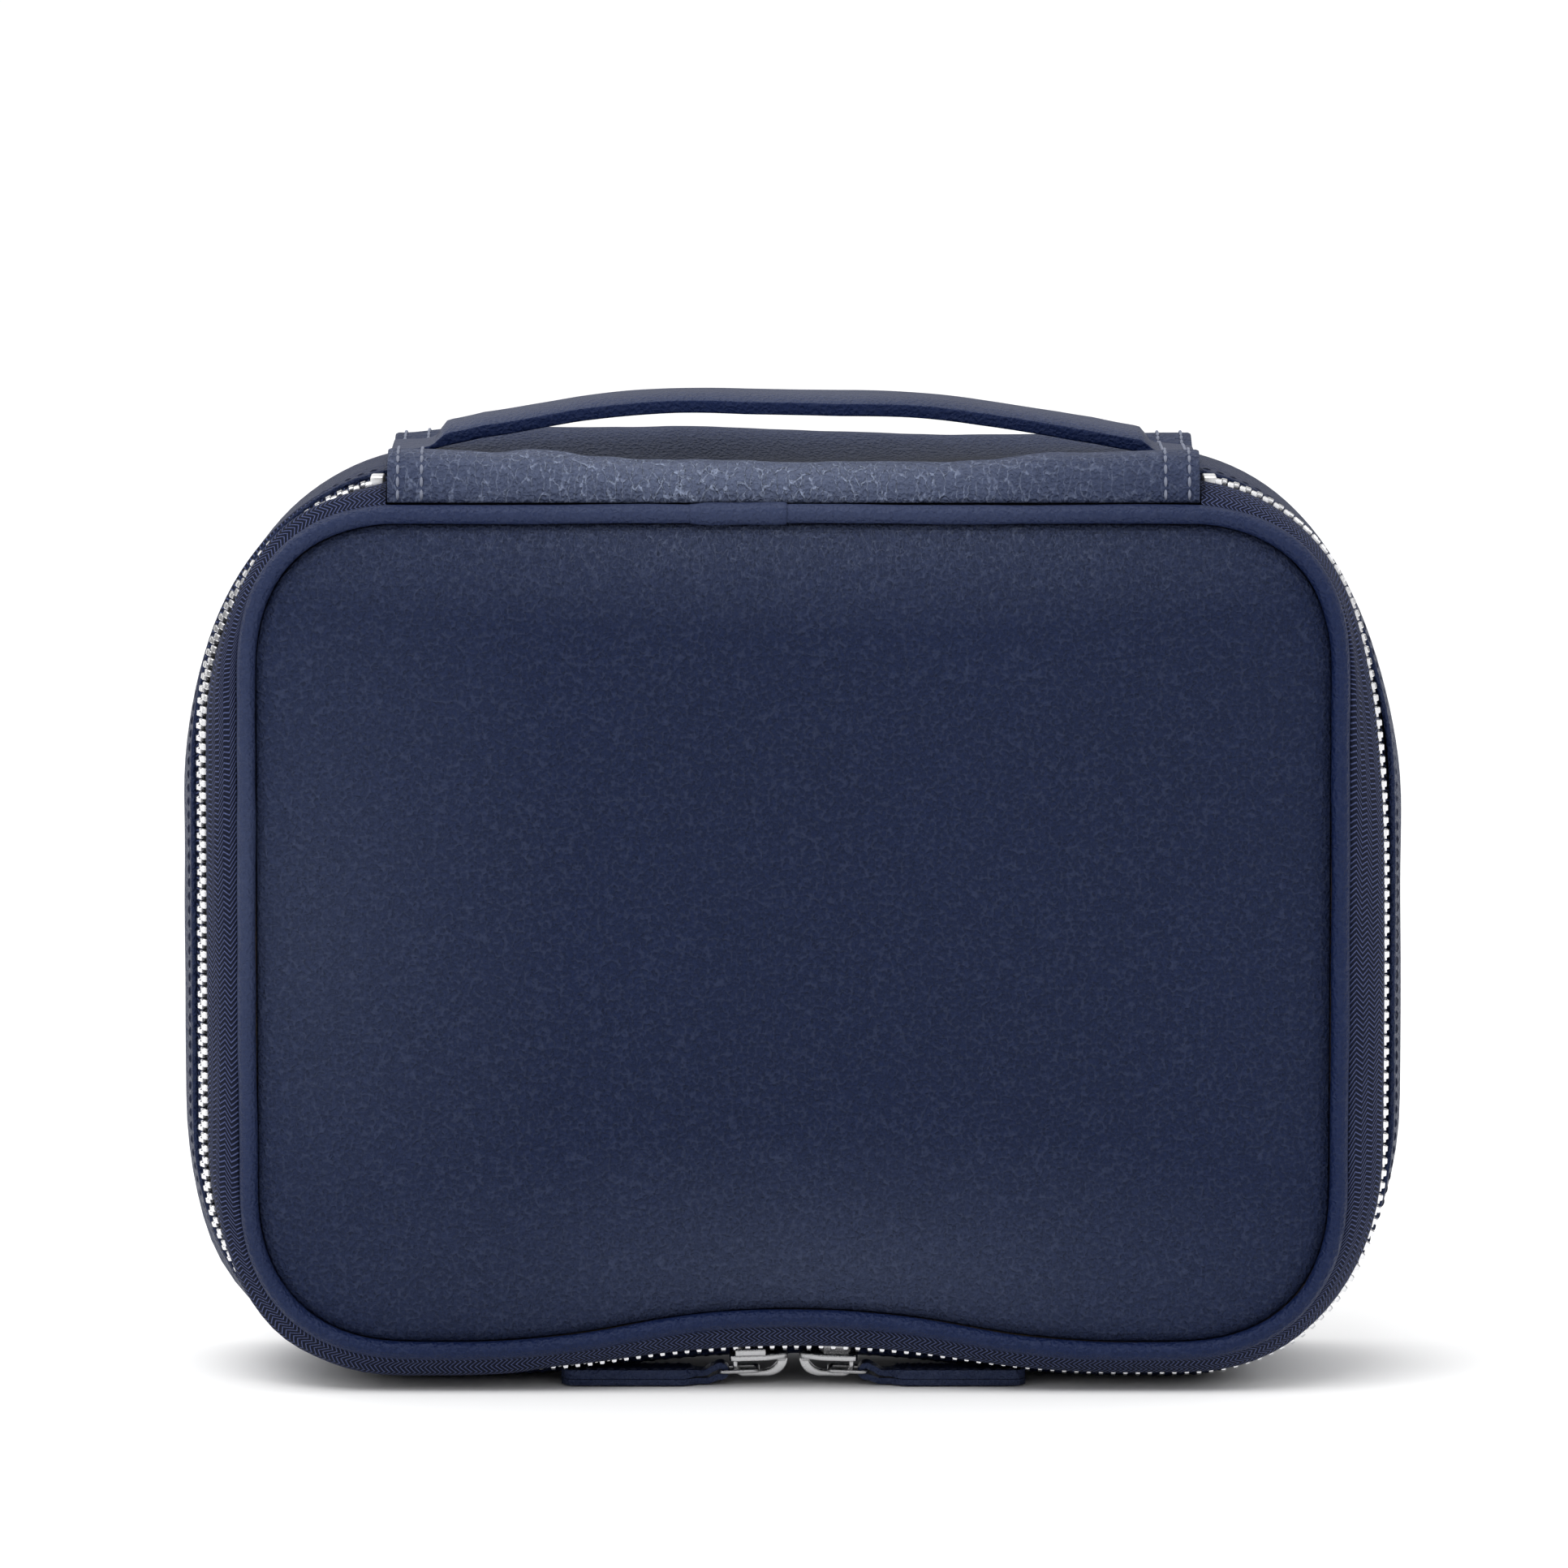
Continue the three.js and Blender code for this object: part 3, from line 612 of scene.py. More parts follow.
def gusset():
    """The leather round the back part, lumpy at the sides, and the board inside it."""
    rows = 34
    line = spread_line(GUSSET, rows)
    outer = strip_rings(line, 0, U)
    inner = strip_rings(line, -GUSSET_THICK, U)
    flat = outer.reshape(-1, 3)
    pts, nrm = (v[U] for v in outline(13.7))
    side = np.abs(nrm[:, 0])
    bulge = waves(flat, (60, 40, 45), 21) * 0.35 + waves(flat, (22, 16, 22), 22) * 0.12
    t = np.linspace(0, 1, rows)
    mask = (np.sin(t * math.pi) ** 0.7)[:, None] * (0.2 + 0.8 * side)[None]
    drawn = smooth((1 - t) * 3)[:, None] * waist(pts, nrm, WAIST_SKIN)[None]
    low_left = np.clip(-nrm[:, 0] * 1.4, 0, 1) * np.exp(-(((pts[:, 1] - 24) / 14) ** 2))
    full = smooth(t * 6)[:, None] * smooth((1 - t) * 3)[:, None]
    shift = full * 1.6 * low_left[None] - drawn
    move = bulge.reshape(rows, -1) * mask + shift
    push(outer, nrm, move)
    push(inner, nrm, shift)
    outer[:, :, 2] = np.maximum(outer[:, :, 2], 0)
    inner[:, :, 2] = np.maximum(inner[:, :, 2], 0.5)
    lip = outer[0] * 0.5 + inner[0] * 0.5
    lip[:, 1] -= 0.25
    rings = np.concatenate([outer, inner[::-1], lip[None]])
    ob = skin("gusset", rings.transpose(1, 0, 2), GUSSET_LEATHER, "base")
    stands_for(ob, "navy leather", "gusset_leather")
    line = spread_line(GUSSET[3:6], 12)
    outer = strip_rings(line, -BOARD_FACE, U)
    inner = strip_rings(line, -BOARD_BACK, U)
    push(outer, nrm, -waist(pts, nrm, WAIST_SKIN))
    rings = np.concatenate([outer, inner[::-1]]).transpose(1, 0, 2)
    board = skin("gusset_stiffener", rings, BOARD, "base")
    stands_for(board, "stiff board", "gusset_board")


gusset()


# ---------------------------------------------------------------- stitches
def stitches(name, curve, up, mat, body, length=2.2, gap=0.55, radius=0.34, sink=0.10):
    """Short threads laid end to end along a curve on a surface; up are its outward normals."""
    curve, up = np.asarray(curve, float), np.asarray(up, float)
    s = distances(curve)
    verts, faces = [], []
    one = grid_faces(6, 6, False, True) + [tuple(range(5, -1, -1)), tuple(range(30, 36))]
    v = gap
    while v + length < s[-1]:
        base = len(verts)
        for f in np.linspace(0, 1, 6):
            here = v + f * length
            c, n = between(here, s, curve), unit(between(here, s, up))
            side = np.cross(unit(between(here + 0.2, s, curve) - between(here - 0.2, s, curve)), n)
            rise = math.sin(f * math.pi) * radius - sink
            r = radius * (0.35 + 0.65 * math.sin(f * math.pi) ** 0.5)
            for a in turn(6):
                verts.append(c + n * (rise + r * math.sin(a)) + side * r * math.cos(a))
        faces.extend(tuple(base + i for i in f) for f in one)
        v += length + gap
    ob = mesh_object(name, verts, faces, mat, body)
    return ob


def gusset_seam():
    """Dark stitches along the gusset beside the zip."""
    p, m = outline(12.55)
    q = (p - m * waist(p, m, WAIST_SKIN)[:, None])[U]
    stitches("gusset_seam", at_depth(q, -15.0), at_depth(m[U], 0.0), THREAD, "base", 2.0, 0.9, 0.2)


gusset_seam()

# ---------------------------------------------------------------- zip
SLIDER_REACH = 37
FRONT_TAPE = [(1.9, -34.3), (4.4, -32.4), (6.9, -29.6), (8.5, -27.0), (8.95, -25.0)]
BACK_TAPE = [(8.95, -19.0), (9.3, -17.6), (11.1, -15.6), (11.5, -14.2)]


def tape(name, points, body, node):
    """A woven tape from the piping or gusset to the chain, following the chain's lean and tuck."""
    line = spread_line(points, 12)
    rails_out = strip_rings(line, 0.28, U)
    rails_in = strip_rings(line, -0.28, U)
    tilt = zip_tilt()[U]
    m = outline(CHAIN_B)[1][U]
    for rails in (rails_out, rails_in):
        for k, (b, y) in enumerate(line):
            across = y - CHAIN_Y
            share = 1 - min(abs(abs(across) - 3.0) / 6.0, 1)
            lean = np.sin(tilt) * across * share
            near = smooth((b - 7.1) / 1.2) if b < CHAIN_B else smooth((10.6 - b) / 1.5)
            lean = lean - tuck()[U] * near - waist(*outline(CHAIN_B), WAIST_ZIP)[U] * smooth((b - 2) / 5)
            if body == "lid":
                lean = lean + 0.9 * tuck()[U] * math.exp(-(((b - 6.3) / 2.0) ** 2))
            push(rails[k], m, lean)
    if body == "lid":
        sag = waves(rails_out.reshape(-1, 3), (26, 26, 26), 31).reshape(rails_out.shape[:2])
        sag *= 0.25 * np.sin(np.linspace(0, math.pi, 12))[:, None]
        for rails in (rails_out, rails_in):
            push(rails, m, sag)
    rings = np.concatenate([rails_out, rails_in[::-1]]).transpose(1, 0, 2)
    across = distances(line)
    v = np.concatenate([across, across[::-1]])
    uv = np.stack(np.broadcast_arrays(distances(rails_out[6])[:, None], v[None]), -1).reshape(-1, 2)
    ob = skin(name, rings, TAPE, body, uvs=uv)
    stands_for(ob, "zip tape", node)


def tooth_shape(width, inner, outer, thick):
    """One tooth: a clamp on the tape's edge and a narrower head.

    Its axes are along the chain, across it and out of the case.
    """
    profile = [
        (outer, 0.5, 0.62),
        (outer - 0.15 * (outer - inner), 0.56, 0.96),
        (inner + 0.55 * (outer - inner), 0.56, 1.0),
        (inner + 0.42 * (outer - inner), 0.46, 0.92),
        (inner + 0.10 * (outer - inner), 0.44, 0.88),
        (inner, 0.34, 0.66),
    ]
    c = 0.28
    octagon = [(-1, c - 1), (c - 1, -1), (1 - c, -1), (1, c - 1)]
    octagon += [(-x, -y) for x, y in octagon]
    return np.array([(sx * w * width, y, st * 0.5 * t * thick) for y, w, t in profile for sx, st in octagon])


def tooth_row(name, sign, phase, body, node):
    """Single teeth along the chain; sign is -1 for the front row, 1 for the back one.

    Those that the sliders can reach have shorter heads, which stay clear of the slider's web.
    """
    p, m = outline(CHAIN_B)
    p, m, tilt = (p - m * (tuck() + waist(p, m, WAIST_ZIP))[:, None])[U], m[U], zip_tilt()[U]
    s = distances(p)
    middle = s[-1] / 2
    count = int(s[-1] / TOOTH_PITCH) - 1
    verts, faces = [], []
    one = grid_faces(6, 8, False, True) + [tuple(range(7, -1, -1)), tuple(range(40, 48))]
    for k in range(count):
        u = middle + (k - count / 2 + phase) * TOOTH_PITCH
        if u < 1.5 or u > s[-1] - 1.5:
            continue
        c, n = between(u, s, p), unit(between(u, s, m))
        t = np.array([n[1], -n[0]])
        head = 0.55 if abs(u - middle) < SLIDER_REACH else -0.55
        shape = tooth_shape(1.28 - 0.3 * max(-n[1], 0), head, 3.7, 2.5)
        jitter = rng.normal(scale=0.03, size=3)
        lean = float(np.interp(u, s, tilt))
        y = sign * shape[:, 1]
        out = shape[:, 2] + jitter[2]
        y, out = y * math.cos(lean) - out * math.sin(lean), out * math.cos(lean) + y * math.sin(lean)
        along = shape[:, 0] + jitter[0]
        base = len(verts)
        wx, wz = (c[i] + along * t[i] + out * n[i] for i in (0, 1))
        verts.extend(np.column_stack([wx, CHAIN_Y + y + jitter[1], wz]))
        faces.extend(tuple(base + i for i in f) for f in one)
    ob = mesh_object(name, verts, faces, NICKEL, body, flat=True)
    stands_for(ob, "zip metal", node)


tape("zip_tape_lid_side", FRONT_TAPE, "lid", "zip_tape_front")
tape("zip_tape_base_side", BACK_TAPE, "base", "zip_tape_back")
tooth_row("teeth_lid_side", -1, 0.0, "lid", "zip_teeth_front")
tooth_row("teeth_base_side", 1, 0.5, "base", "zip_teeth_back")


def rounded_box(name, lo, hi, mat, body, bevel, segments=3):
    lo, hi = np.array(lo, float), np.array(hi, float)
    corners = [(x, y, z) for z in (lo[2], hi[2]) for y in (lo[1], hi[1]) for x in (lo[0], hi[0])]
    faces = [(0, 1, 3, 2), (4, 6, 7, 5), (0, 4, 5, 1), (2, 3, 7, 6), (0, 2, 6, 4), (1, 5, 7, 3)]
    return soften(mesh_object(name, corners, faces, mat, body), bevel, segments)


for label, sx in SIDES:
    for row, body, y0, y1 in (("front", "lid", -25.6, -22.3), ("back", "base", -21.7, -18.6)):
        x0, x1 = sorted((sx * 89.2, sx * 86.2))
        ob = rounded_box(f"stop_{row}_{label}", (x0, y0, 191.6), (x1, y1, 194.3), STOP, body, 0.5)
        stands_for(ob, "zip metal", f"zip_stop_{row}_{label}")

# ---------------------------------------------------------------- spine
# (y, z) over the spine, from front to back
SPINE_LINE = [(-33.6, 189.4), (-33.3, 192.3), (-32.0, 195.4), (-28.9, 197.8), (-23, 198.7), (-15, 198.1)]
SPINE_LINE += [(-8, 197.6), (8, 197.6), (15, 198.2), (22, 199.2), (28.6, 198.6), (31.8, 195.6), (33.3, 192.3)]
SPINE_LINE.append((33.6, 189.4))


def spine_surface(x, count=90):
    """The spine's outer line at x: sags between its sewn ends, and creases along the front."""
    line = spread_line(SPINE_LINE, count)
    y, z = line[:, 0].copy(), line[:, 1].copy()
    sag = 3.7 * (1 - min(abs(x) / 82, 1) ** 3) + 1.3 * smooth((x - 56) / 24)
    valley = np.exp(-(((y + 2) / 19) ** 4))
    z -= sag * valley
    front = np.exp(-(((y + 29) / 11) ** 4))
    front *= smooth((z - 190.5) / 6)
    z += front * (1.4 * smooth((abs(x) - 32) / 28) - 0.7 * (1 - smooth((abs(x - 8) - 20) / 30)))
    back = smooth((y - 4) / 14) * np.exp(-(((y - 22) / 12) ** 4))
    z += back * 1.0 * smooth((22 - x) / 40) * (1 - smooth((-x - 72) / 12))
    middle = 1 - smooth((np.abs(x) - 62) / 18)
    p = np.column_stack([np.full(count, x), y, z])
    near = smooth((-y - 12) / 8)
    fold = waves(p, (6.5, 30, 16), 41, 14)
    fold = np.sign(fold) * np.abs(fold) ** 0.8
    broad = waves(p, (26, 18, 18), 42)
    edge = smooth((np.linspace(0, 1, count)) * 14) * smooth((1 - np.linspace(0, 1, count)) * 14)
    left = 0.55 + 0.75 * smooth((-x + 5) / 40)
    move = middle * edge * (0.17 * fold * (0.3 + near * left) + 0.42 * broad)
    d = unit(np.gradient(line, axis=0))
    y += -d[:, 1] * move
    z += d[:, 0] * move
    return np.column_stack([np.full(count, x), y, z])


def spine():
    """The leather along the top, with its end edges slightly rounded."""
    xs = np.linspace(-SPINE_HALF, SPINE_HALF, 300)
    outer = np.array([spine_surface(x) for x in xs])
    inner = outer.copy()
    d = unit(np.gradient(outer, axis=1)[:, :, 1:])
    inner[:, :, 1] += d[:, :, 1] * SPINE_LEATHER_THICK
    inner[:, :, 2] -= d[:, :, 0] * SPINE_LEATHER_THICK
    core = outer * 0.5 + inner * 0.5
    rings = np.concatenate([outer, inner[:, ::-1]], axis=1)
    for i in (0, -1):
        rings[i] = rings[i] * 0.6 + np.concatenate([core[i], core[i, ::-1]]) * 0.4
    ob = skin("spine", rings, SPINE_LEATHER, None)
    stands_for(ob, "navy leather", "spine_front", "spine_back")
    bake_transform(ob)


spine()

# ---------------------------------------------------------------- handle
HANDLE_HALF = 85.2
STRAP_HALF = 11.0
# (x, lift) along the strap's underside, over a plain arch
LIFT = [(-85, -0.5), (-79, -0.3), (-73, 1.0), (-66, 1.9), (-56, 1.9), (-46, 1.7), (-30, 0.9), (-10, 0.1)]
LIFT += [(10, -0.2), (40, 0.0), (56, 0.5), (64, 0.5), (72, -0.2), (78, -1.0), (85, -1.7)]


def handle_under(x):
    """Height of the strap's underside: lifted along the left half, drooping at the right end."""
    share = (1 - np.cos(np.clip(np.abs(x) / 78, 0, 1) * math.pi)) / 2
    return 205.9 - 7.6 * share**1.8 + np.interp(x, *zip(*LIFT))


def handle_section(x):
    """Closed (y, z) section above the underside: a padded top between two thin sewn edges."""
    free = float(1 - smooth((abs(x) - 73.5) / 3.5))
    crown = 0.1 + 1.7 * free
    a = np.sin(np.linspace(-math.pi / 2, math.pi / 2, 25))
    pad = np.clip(1 - np.abs(a) ** 4, 0, 1) ** 0.8
    top = 1.0 + 1.6 * free + crown * pad
    top[0] = top[-1] = top[0] - 0.25
    y = np.concatenate([a, a[::-1]]) * STRAP_HALF
    z = np.concatenate([top, np.full(25, 0.12)])
    z[25] = z[49] = 0.5
    return y, z


def handle():
    """Two halves of one strap, which meet at the centre.

    Their normals come from the whole strap, so the join can't be seen.
    """
    xs = np.linspace(-HANDLE_HALF, HANDLE_HALF, 151)
    rings = []
    for x in xs:
        y, z = handle_section(x)
        shrink = 1.0 if abs(x) < 84.6 else 0.93
        rings.append(np.column_stack([np.full(len(y), x), y * shrink, handle_under(x) + 0.02 + z * shrink]))
    rings = np.array(rings)
    flat = rings.reshape(-1, 3)
    flat[:, 1] += 0.10 * waves(flat, (30, 30, 30), 51)
    flat[:, 2] += 0.10 * waves(flat, (24, 18, 30), 52)
    whole = skin("whole", rings, STRAP_LEATHER, None)
    normals = np.array([v.normal for v in whole.data.vertices])
    bpy.data.objects.remove(whole)
    columns = rings.shape[1]
    for label, sx, i0, i1 in (("left", -1, 0, 76), ("right", 1, 75, 151)):
        ob = skin(f"handle_{label}", rings[i0:i1], STRAP_LEATHER, None, caps=False)
        me = ob.data
        end = 0 if sx < 0 else i1 - i0 - 1
        recalc(me, [end * columns + k for k in range(columns)])
        # Faces turned sideways or down take the second, duller material: painted shade on the strap's edges
        # and underside.
        me.materials.append(STRAP_SHADED_SIDES)
        for face in me.polygons:
            face.material_index = int(abs(face.normal.z) < 0.55 or face.normal.z < 0)
        me.normals_split_custom_set_from_vertices(normals[i0 * columns : i1 * columns])
        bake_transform(ob)
        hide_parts(*([f"handle_end_{label}"] + (["handle"] if sx > 0 else [])))


handle()


def anchor_stitches():
    """Two pale rows at each end, over the spine and the sewn end of the handle."""
    for label, sx in SIDES:
        for k, ax in enumerate((78.2, 83.2)):
            line = spine_surface(sx * ax)
            d = np.gradient(line, axis=0)
            up = unit(np.column_stack([np.zeros(len(d)), -d[:, 2], d[:, 1]]))
            beside = STRAP_HALF + 0.6
            front, behind = line[:, 1] < -beside, line[:, 1] > beside
            ob = stitches(f"anchor_{label}_{k}_front", line[front], up[front], PALE_THREAD, None)
            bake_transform(ob)
            stitches(f"anchor_{label}_{k}_back", line[behind], up[behind], PALE_THREAD, "base")
            ys = np.linspace(-10.6, 10.6, 30)
            sec_y, sec_z = handle_section(ax)
            z = np.interp(ys, sec_y[:25], sec_z[:25]) + handle_under(ax)
            curve = np.column_stack([np.full(30, sx * ax), ys, z])
            stitches(f"anchor_{label}_{k}_strap", curve, np.tile([0, 0, 1.0], (30, 1)), PALE_THREAD, "base")


anchor_stitches()

# ---------------------------------------------------------------- sliders, rings and tabs
# The sliders run about the centre of the arch under the case, as outline() draws it at the chain.
LOW = 9 - 0.66 * CHAIN_B
RISE = 7 - 0.17 * CHAIN_B
ARCH_R = 72**2 / (4 * RISE)
PIVOT_Z = LOW + RISE - ARCH_R
PHI = math.asin(7.4 / ARCH_R)  # each slider's place, 7.4 mm from the middle
PLATE_TOP = -1.55
RING_Z = -5.15
RING_IN, RING_LENGTH, RING_HALF, WIRE = 0.4, 7.9, 3.8, 0.45


def placed(verts, sx, level=False):
    """From a slider's own axes (outward along the chain, y, up) to the case's."""
    v = np.asarray(verts, float)
    x, y, z = v[:, 0], v[:, 1] * sx, v[:, 2]
    if level:
        ox, oz = RING_IN + RING_LENGTH, RING_Z
        c, s = math.cos(PHI), math.sin(PHI)
        x, z = ox + c * x - s * z, oz + s * x + c * z
    z = z + ARCH_R
    wx = x * math.cos(PHI) + z * math.sin(PHI)
    wz = -x * math.sin(PHI) + z * math.cos(PHI)
    return np.column_stack([sx * wx, CHAIN_Y + y, PIVOT_Z + wz])


def prism(plan, z0, z1):
    """Points and faces of a plan in x and y, drawn out from z0 to z1."""
    n = len(plan)
    v = [(x, y, z0) for x, y in plan] + [(x, y, z1) for x, y in plan]
    f = [tuple(range(n - 1, -1, -1)), tuple(range(n, 2 * n))]
    f += [(i, (i + 1) % n, n + (i + 1) % n, n + i) for i in range(n)]
    return v, f


def joined_parts(parts):
    verts, faces = [], []
    for v, f in parts:
        faces.extend(tuple(len(verts) + i for i in q) for q in f)
        verts.extend(v)
    return np.array(verts, float), faces


def sweep_flat(path, half_width, half_thick):
    """A flat bar in the x-z plane along path, its width along y; both halves may vary."""
    path = np.asarray(path, float)
    n = -offset_line(path, 1)
    w = np.broadcast_to(half_width, len(path))
    t = np.broadcast_to(half_thick, len(path))
    verts = []
    for (x, z), (nx, nz), hw, ht in zip(path, n, w, t):
        for sy, st in ((-1, -1), (1, -1), (1, 1), (-1, 1)):
            verts.append((x + st * nx * ht, sy * hw, z + st * nz * ht))
    k = (len(path) - 1) * 4
    return verts, grid_faces(len(path), 4, False, True) + [(3, 2, 1, 0), (k, k + 1, k + 2, k + 3)]


def arc_points(cx, cz, r, a0, a1, n):
    a = np.radians(np.linspace(a0, a1, n))
    return [(cx + r * math.cos(t), cz + r * math.sin(t)) for t in a]


def slider(label, sx):
    """Two plates, a web and side flanges, with a crown bent from flat bar that holds the ring."""
    plan = [(-6.1, -1.9), (-5.4, -2.7), (-1.8, -4.3), (-0.6, -4.45), (5.0, -4.45), (6.0, -4.0), (6.3, -3.0)]
    plan += [(6.3, 3.0), (6.0, 4.0), (5.0, 4.45), (-0.6, 4.45), (-1.8, 4.3), (-5.4, 2.7), (-6.1, 1.9)]
    outer = prism(plan, PLATE_TOP - 1.3, PLATE_TOP)
    inner = prism([(-5.4, -2.2), (5.4, -3.2), (5.4, 3.2), (-5.4, 2.2)], 1.55, 2.7)
    web = prism([(-1, -0.4), (4.5, -0.4), (4.5, 0.4), (-1, 0.4)], PLATE_TOP - 0.2, 1.8)
    flange = prism([(-1.5, 3.75), (5.0, 3.75), (5.0, 4.45), (-1.5, 4.45)], PLATE_TOP - 0.2, PLATE_TOP + 1.3)
    lug = prism([(-5.6, -1.5), (-3.8, -1.5), (-3.8, 1.5), (-5.6, 1.5)], PLATE_TOP - 1.9, PLATE_TOP - 1.0)
    nose = [(-1.0 - 4.1 * math.cos(t), -2.7 - 3.35 * math.sin(t)) for t in np.linspace(0, math.pi / 2, 14)]
    heel = [(3.2 + 1.9 * math.sin(t), -4.25 - 1.8 * math.cos(t)) for t in np.linspace(0, math.pi / 2, 8)]
    crown = np.array(nose + heel + [(5.1, -2.6)])
    thick = np.interp(np.linspace(0, 1, len(crown)), [0, 0.3, 0.62, 1], [1.05, 0.95, 0.55, 0.5])
    bar = sweep_flat(crown, 1.25, thick)
    v, f = joined_parts([outer, inner, web, flange, lug, bar])
    ob = mesh_object(f"slider_body_{label}", placed(v, sx), f, SLIDER_METAL, f"slider_{label}")
    soften(ob, 0.25, 3, 30)
    stands_for(ob, "zip metal", f"slider_{label}")


def pull_ring(label, sx):
    """A rectangular wire ring with rounded corners."""
    r = 1.0
    x0, x1 = RING_IN + r, RING_IN + RING_LENGTH - r
    h = RING_HALF - WIRE - r
    flat = arc_points(x1, h, r, 90, 0, 6) + arc_points(x1, -h, r, 0, -90, 6)
    flat += arc_points(x0, -h, r, 270, 180, 6) + arc_points(x0, h, r, 180, 90, 6)
    path = np.array([(x, y, RING_Z) for x, y in flat])
    side = np.cross(unit(np.roll(path, -1, 0) - np.roll(path, 1, 0)), [0, 0, 1.0])
    a = turn(12)[None, :, None]
    rings = path[:, None] + WIRE * (np.cos(a) * side[:, None] + np.sin(a) * np.array([0, 0, 1.0]))
    rings = placed(rings.reshape(-1, 3), sx).reshape(rings.shape)
    ob = skin(f"ring_{label}", rings, SLIDER_METAL, f"pull_ring_{label}", joined=True)
    stands_for(ob, "zip metal", f"pull_ring_{label}")


def tab_half(x):
    """Half the tab's width, x mm from the ring."""
    return 2.6 + 2.0 * smooth((x - 4.6) / 3.4)


def pull_tab(label, sx):
    """A strip of leather round the ring, doubled on itself, sewn along both edges."""
    end = 33.8
    low, high = -2.05, -0.36
    path = [(x, low) for x in np.linspace(end, 2.6, 26)] + arc_points(0, 0, 1.22, 300, 45, 22)[1:]
    path += [(1.9, 0.42), (2.9, -0.25), (3.9, -0.4)] + [(x, high) for x in np.linspace(5.0, end, 24)]
    path = np.array(path)
    x = path[:, 0]
    tip = np.clip((end - x) / 3.0, 0, 1)
    half = tab_half(x) - 2.6 * (1 - np.sqrt(1 - (1 - tip) ** 2))
    upper = (np.arange(len(path)) > 46) * smooth((x - 4.5) / 3)
    v, f = sweep_flat(path, half, 0.62 + 0.33 * upper)
    ob = mesh_object(f"tab_{label}", placed(v, sx, True), f, STRAP_LEATHER, f"pull_tab_{label}")
    soften(ob, 0.22, 2, 50)
    stands_for(ob, "navy leather", f"pull_tab_{label}")
    xs = np.linspace(5.5, end - 2.2, 60)
    up = np.tile([0, 0, 1.0], (60, 1))
    for k, sy in enumerate((-1, 1)):
        curve = placed(np.column_stack([xs, sy * (tab_half(xs) - 1.1), np.full(60, high + 0.95)]), sx, True)
        stitches(f"tab_seam_{label}_{k}", curve, up, THREAD, f"pull_tab_{label}", 1.7, 0.7, 0.22)


for label, sx in SIDES:
    slider(label, sx)
    pull_ring(label, sx)
    pull_tab(label, sx)

# ---------------------------------------------------------------- inside
TRAY_TOP = 195.3
TRAY_FLOOR_Y = 27.4
LINING_Y = -29.2


def tray():
    """A thin dish: its outside, its rounded lip, its inside and its floor."""
    wall = [(6.6, -4.2, 28.9), (10.2, -4.1, 25.2), (12.8, -3.8, 19), (13.7, -3.5, 14), (13.7, -3.5, -9.5)]
    wall += [(12.4, -3.5, -15.2), (12.3, -3.9, -15.5), (12.3, -4.6, -15.5), (12.2, -5, -15.2)]
    wall += [(13.7, -5, -9.5), (13.7, -5, 0), (13.7, -5, 14), (12.8, -5.3, 19)]
    wall += [(10.2, -5.7, 25.2), (7.9, -6, 27.2)]
    rings = [ring(b, n, y, TRAY_TOP) for b, n, y in wall]
    for _, p in toward(rings[-1], np.array([0, TRAY_FLOOR_Y, MIDDLE_Z]), np.linspace(1, 0.04, 16)[1:]):
        p[:, 1] = TRAY_FLOOR_Y
        rings.append(p)
    ob = skin("tray", rings, SUEDE, "base")
    stands_for(ob, "suede lining", "tray_liner")


def box_mm(node):
    """The low and high corners of a CAD node, in mm."""
    return (np.array(v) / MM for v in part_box(node))


def ring_rolls():
    """The ring cushion: a foam pad and seven round-ended rolls."""
    ob = rounded_box("ring_cushion_pad", *box_mm("ring_pad"), FOAM, "base", 2.0, 4)
    stands_for(ob, "foam", "ring_pad")
    for i in range(7):
        lo, hi = box_mm(f"ring_roll_{i + 1}")
        xs = np.linspace(lo[0], hi[0], 60)
        end = np.minimum(xs - lo[0], hi[0] - xs)
        r = 5.95 * np.sqrt(np.clip(1 - (1 - np.clip(end / 4.5, 0, 1)) ** 2, 0.02, 1))
        a = turn(24)
        cy, cz = (lo[1] + hi[1]) / 2, (lo[2] + hi[2]) / 2
        y, z = cy + r[:, None] * np.cos(a), cz + 1.02 * r[:, None] * np.sin(a)
        rings = np.stack([np.broadcast_to(xs[:, None], y.shape), y, z], -1)
        p = rings.reshape(-1, 3)
        p[:, 1] += 0.14 * waves(p, (18, 9, 9), 60 + i)
        ob = skin(f"roll_{i + 1}", p.reshape(rings.shape), ROLL, "base")
        stands_for(ob, "suede lining", f"ring_roll_{i + 1}")


def lid_inside():
    """The lid's lining, very slightly uneven."""
    rim = [ring(0, 1.5, -30.1), ring(0, 1.6, -29.6), ring(0, 1.3, LINING_Y)]
    for _, p in toward(rim[-1], np.array([0, LINING_Y, MIDDLE_Z]), np.linspace(1, 0.04, 24)[1:]):
        p[:, 1] = LINING_Y - 0.12 * np.abs(waves(p, (40, 40, 40), 71))
        rim.append(p)
    ob = skin("lid_suede", rim, SUEDE, "lid")
    stands_for(ob, "suede lining", "lid_lining")


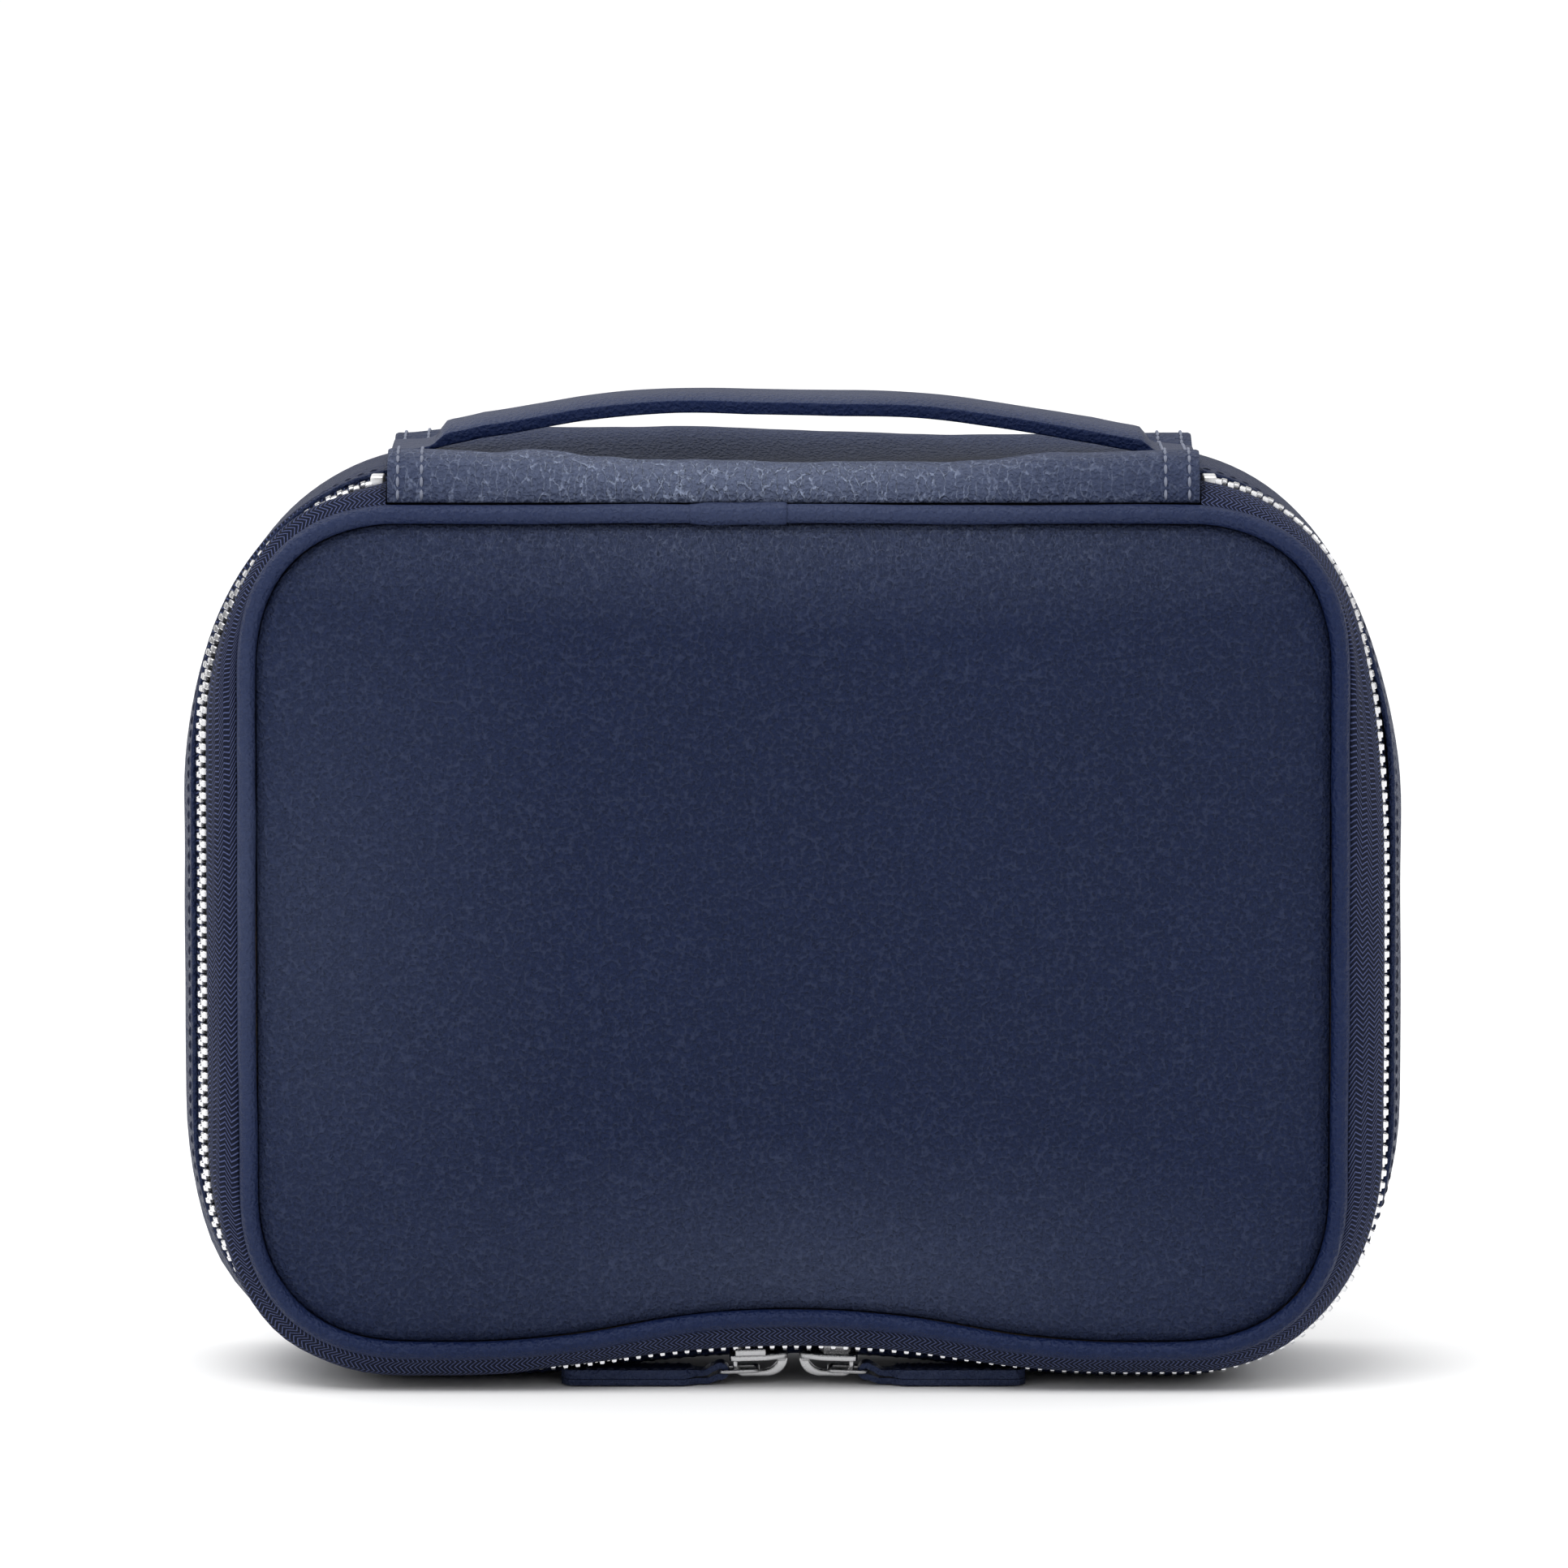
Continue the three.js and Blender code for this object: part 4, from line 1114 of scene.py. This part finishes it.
def pocket():
    """Gathered pocket: elastic along its mouth pulls the cloth into pleats."""
    cols, rows = 260, 30
    half, high, foot_z = 94.5, 61.0, 30.3
    across, up = np.meshgrid(np.linspace(-half, half, cols), np.linspace(0, 1, rows))
    side = np.clip((half - np.abs(across)) / 6, 0, 1) ** 0.5
    foot = np.clip(up * high / 7, 0, 1) ** 0.5
    wander = 0.9 * np.sin(across / 11.0)
    pleat = np.sin(across * 2 * math.pi / 7.3 + wander) * (0.10 + 0.75 * up**1.5) * side
    y = LINING_Y + 0.5 + 4.6 * side * foot + 0.55 * pleat - 0.5 * side * up**3
    front = np.stack([across, y, foot_z + high * up], -1)
    back = front.copy()
    back[:, :, 1] -= 0.45
    v = np.concatenate([front.reshape(-1, 3), back.reshape(-1, 3)])
    n = rows * cols
    faces = grid_faces(rows, cols) + [tuple(n + i for i in f[::-1]) for f in grid_faces(rows, cols)]
    edge = list(range(cols)) + [r * cols + cols - 1 for r in range(1, rows)]
    edge += [(rows - 1) * cols + c for c in range(cols - 2, -1, -1)]
    edge += [r * cols for r in range(rows - 2, 0, -1)]
    faces += [(i, j, n + j, n + i) for i, j in zip(edge, edge[1:] + edge[:1])]
    ob = mesh_object("pocket_cloth", v, faces, SUEDE, "lid")
    stands_for(ob, "suede lining", "lid_pocket")


def necklace_straps():
    """Short leather straps, each closed on the lining by a press stud."""
    length, stud_z = 17.6, 169.8
    for i, x in enumerate((-65, 20, 86), 1):
        path = [(0.2, 0.0), (0.0, -1.2), (0.05, -4)] + [(0.1, -z) for z in np.linspace(5, length, 12)]
        path = np.array(path)
        tip = np.clip((length + path[:, 1]) / 3.0, 0, 1)
        half = 5 - 3 * (1 - np.sqrt(1 - (1 - tip) ** 2))
        v, f = sweep_flat(path, half, 0.7)
        v = np.array(v)
        v = np.column_stack([x + v[:, 1], -27.2 + v[:, 0], 183 + v[:, 2]])
        body = f"necklace_strap_{i}"
        ob = mesh_object(f"hook_strap_{i}", v, f, STRAP_LEATHER, body)
        soften(ob, 0.25, 2, 50)
        stands_for(ob, "navy leather", f"necklace_strap_{i}")
        for name, on, y, thick, radius in (("cap", body, -26.3, 1.0, 3.4), ("stud", "lid", -29.0, 0.7, 3.0)):
            a = turn(32)
            rings = []
            for f, k in ((0.0, 1.0), (0.45, 0.97), (0.85, 0.72), (1.0, 0.3)):
                dx, dz = radius * k * np.cos(a), radius * k * np.sin(a)
                rings.append(np.column_stack([x + dx, np.full(32, y + thick * f), stud_z + dz]))
            ob = skin(f"press_{name}_{i}", rings, SLIDER_METAL, on)
            stands_for(ob, "zip metal", f"strap_{name}_{i}")


tray()
for node in ("divider_long", "divider_upper_1", "divider_upper_2", "divider_lower_1", "divider_lower_2"):
    stands_for(rounded_box(f"{node}_wrapped", *box_mm(node), SUEDE, "base", 0.9, 4), "suede lining", node)
ring_rolls()
lid_inside()
pocket()
necklace_straps()

# Hidden layers keep the CAD's own shape, with their own surface.
for side in ("front", "back"):
    for layer, mat in (("foam", FOAM), ("board", BOARD)):
        slots = bpy.data.objects[f"{side}_panel_{layer}"].data.materials
        slots.clear()
        slots.append(mat)


# ---------------------------------------------------------------- stage
def floor():
    white = Shader(bpy.data.materials.new("floor_white"))
    white.set("Base Color", grey(0.95))
    white.set("Roughness", 0.9)
    white.set("Specular IOR Level", 0.1)
    s = 30000
    corners = [(-s, -s, 0), (s, -s, 0), (s, s, 0), (-s, s, 0)]
    mesh_object("floor", corners, [(0, 1, 2, 3)], white.owner, None, flat=True)


def aimed(name, data, where, target):
    """A light or camera at where, pointing at target, in metres."""
    ob = bpy.data.objects.new(name, data)
    ob.location = where
    ob.rotation_euler = (Vector(target) - Vector(where)).to_track_quat("-Z", "Y").to_euler()
    bpy.context.scene.collection.objects.link(ob)
    return ob


def area_light(name, where, target, size, power):
    data = bpy.data.lights.new(name, "AREA")
    data.shape = "RECTANGLE"
    data.size, data.size_y = size
    data.energy = power
    aimed(name, data, where, target)


floor()
sun = bpy.data.lights.new("sun", "SUN")
sun.energy = 0.6
sun.angle = math.radians(50)
aimed("sun", sun, (0, 0, 0), (0.42, -0.02, -1))
area_light("rim", (-1.3, 1.3, 1.1), (0, 0, 0.15), (1.2, 1.2), 4)
area_light("top_front", (-0.35, -0.95, 1.5), (0, 0, 0.15), (1.3, 0.6), 12)
area_light("right_fill", (1.9, 0.1, 1.2), (0.2, 0, 0), (1.6, 1.2), 9)
area_light("left_front", (-1.9, -1.5, 0.9), (0, 0, 0.1), (0.8, 1.2), 3)
# A white sky that is brightest overhead.
sky = Shader(bpy.data.worlds.new("studio"), "Background")
sky.set("Color", (1, 1, 1, 1))
above = sky.math("MAXIMUM", sky.split("Generated")["Z"], 0.0)
sky.set("Strength", sky.math("MULTIPLY_ADD", above, 1.2, 0.15))
bpy.context.scene.world = sky.owner
bpy.context.scene.view_settings.view_transform = "Standard"

camera = bpy.data.cameras.new("camera")
camera.lens = 263.4
camera.sensor_width = 36
camera.clip_end = 50
FRONT_Y = -PIPE_Y * MM
bpy.context.scene.camera = aimed("camera", camera, (-0.002, FRONT_Y - 2.4, 0.41), (-0.002, FRONT_Y, 0.13))
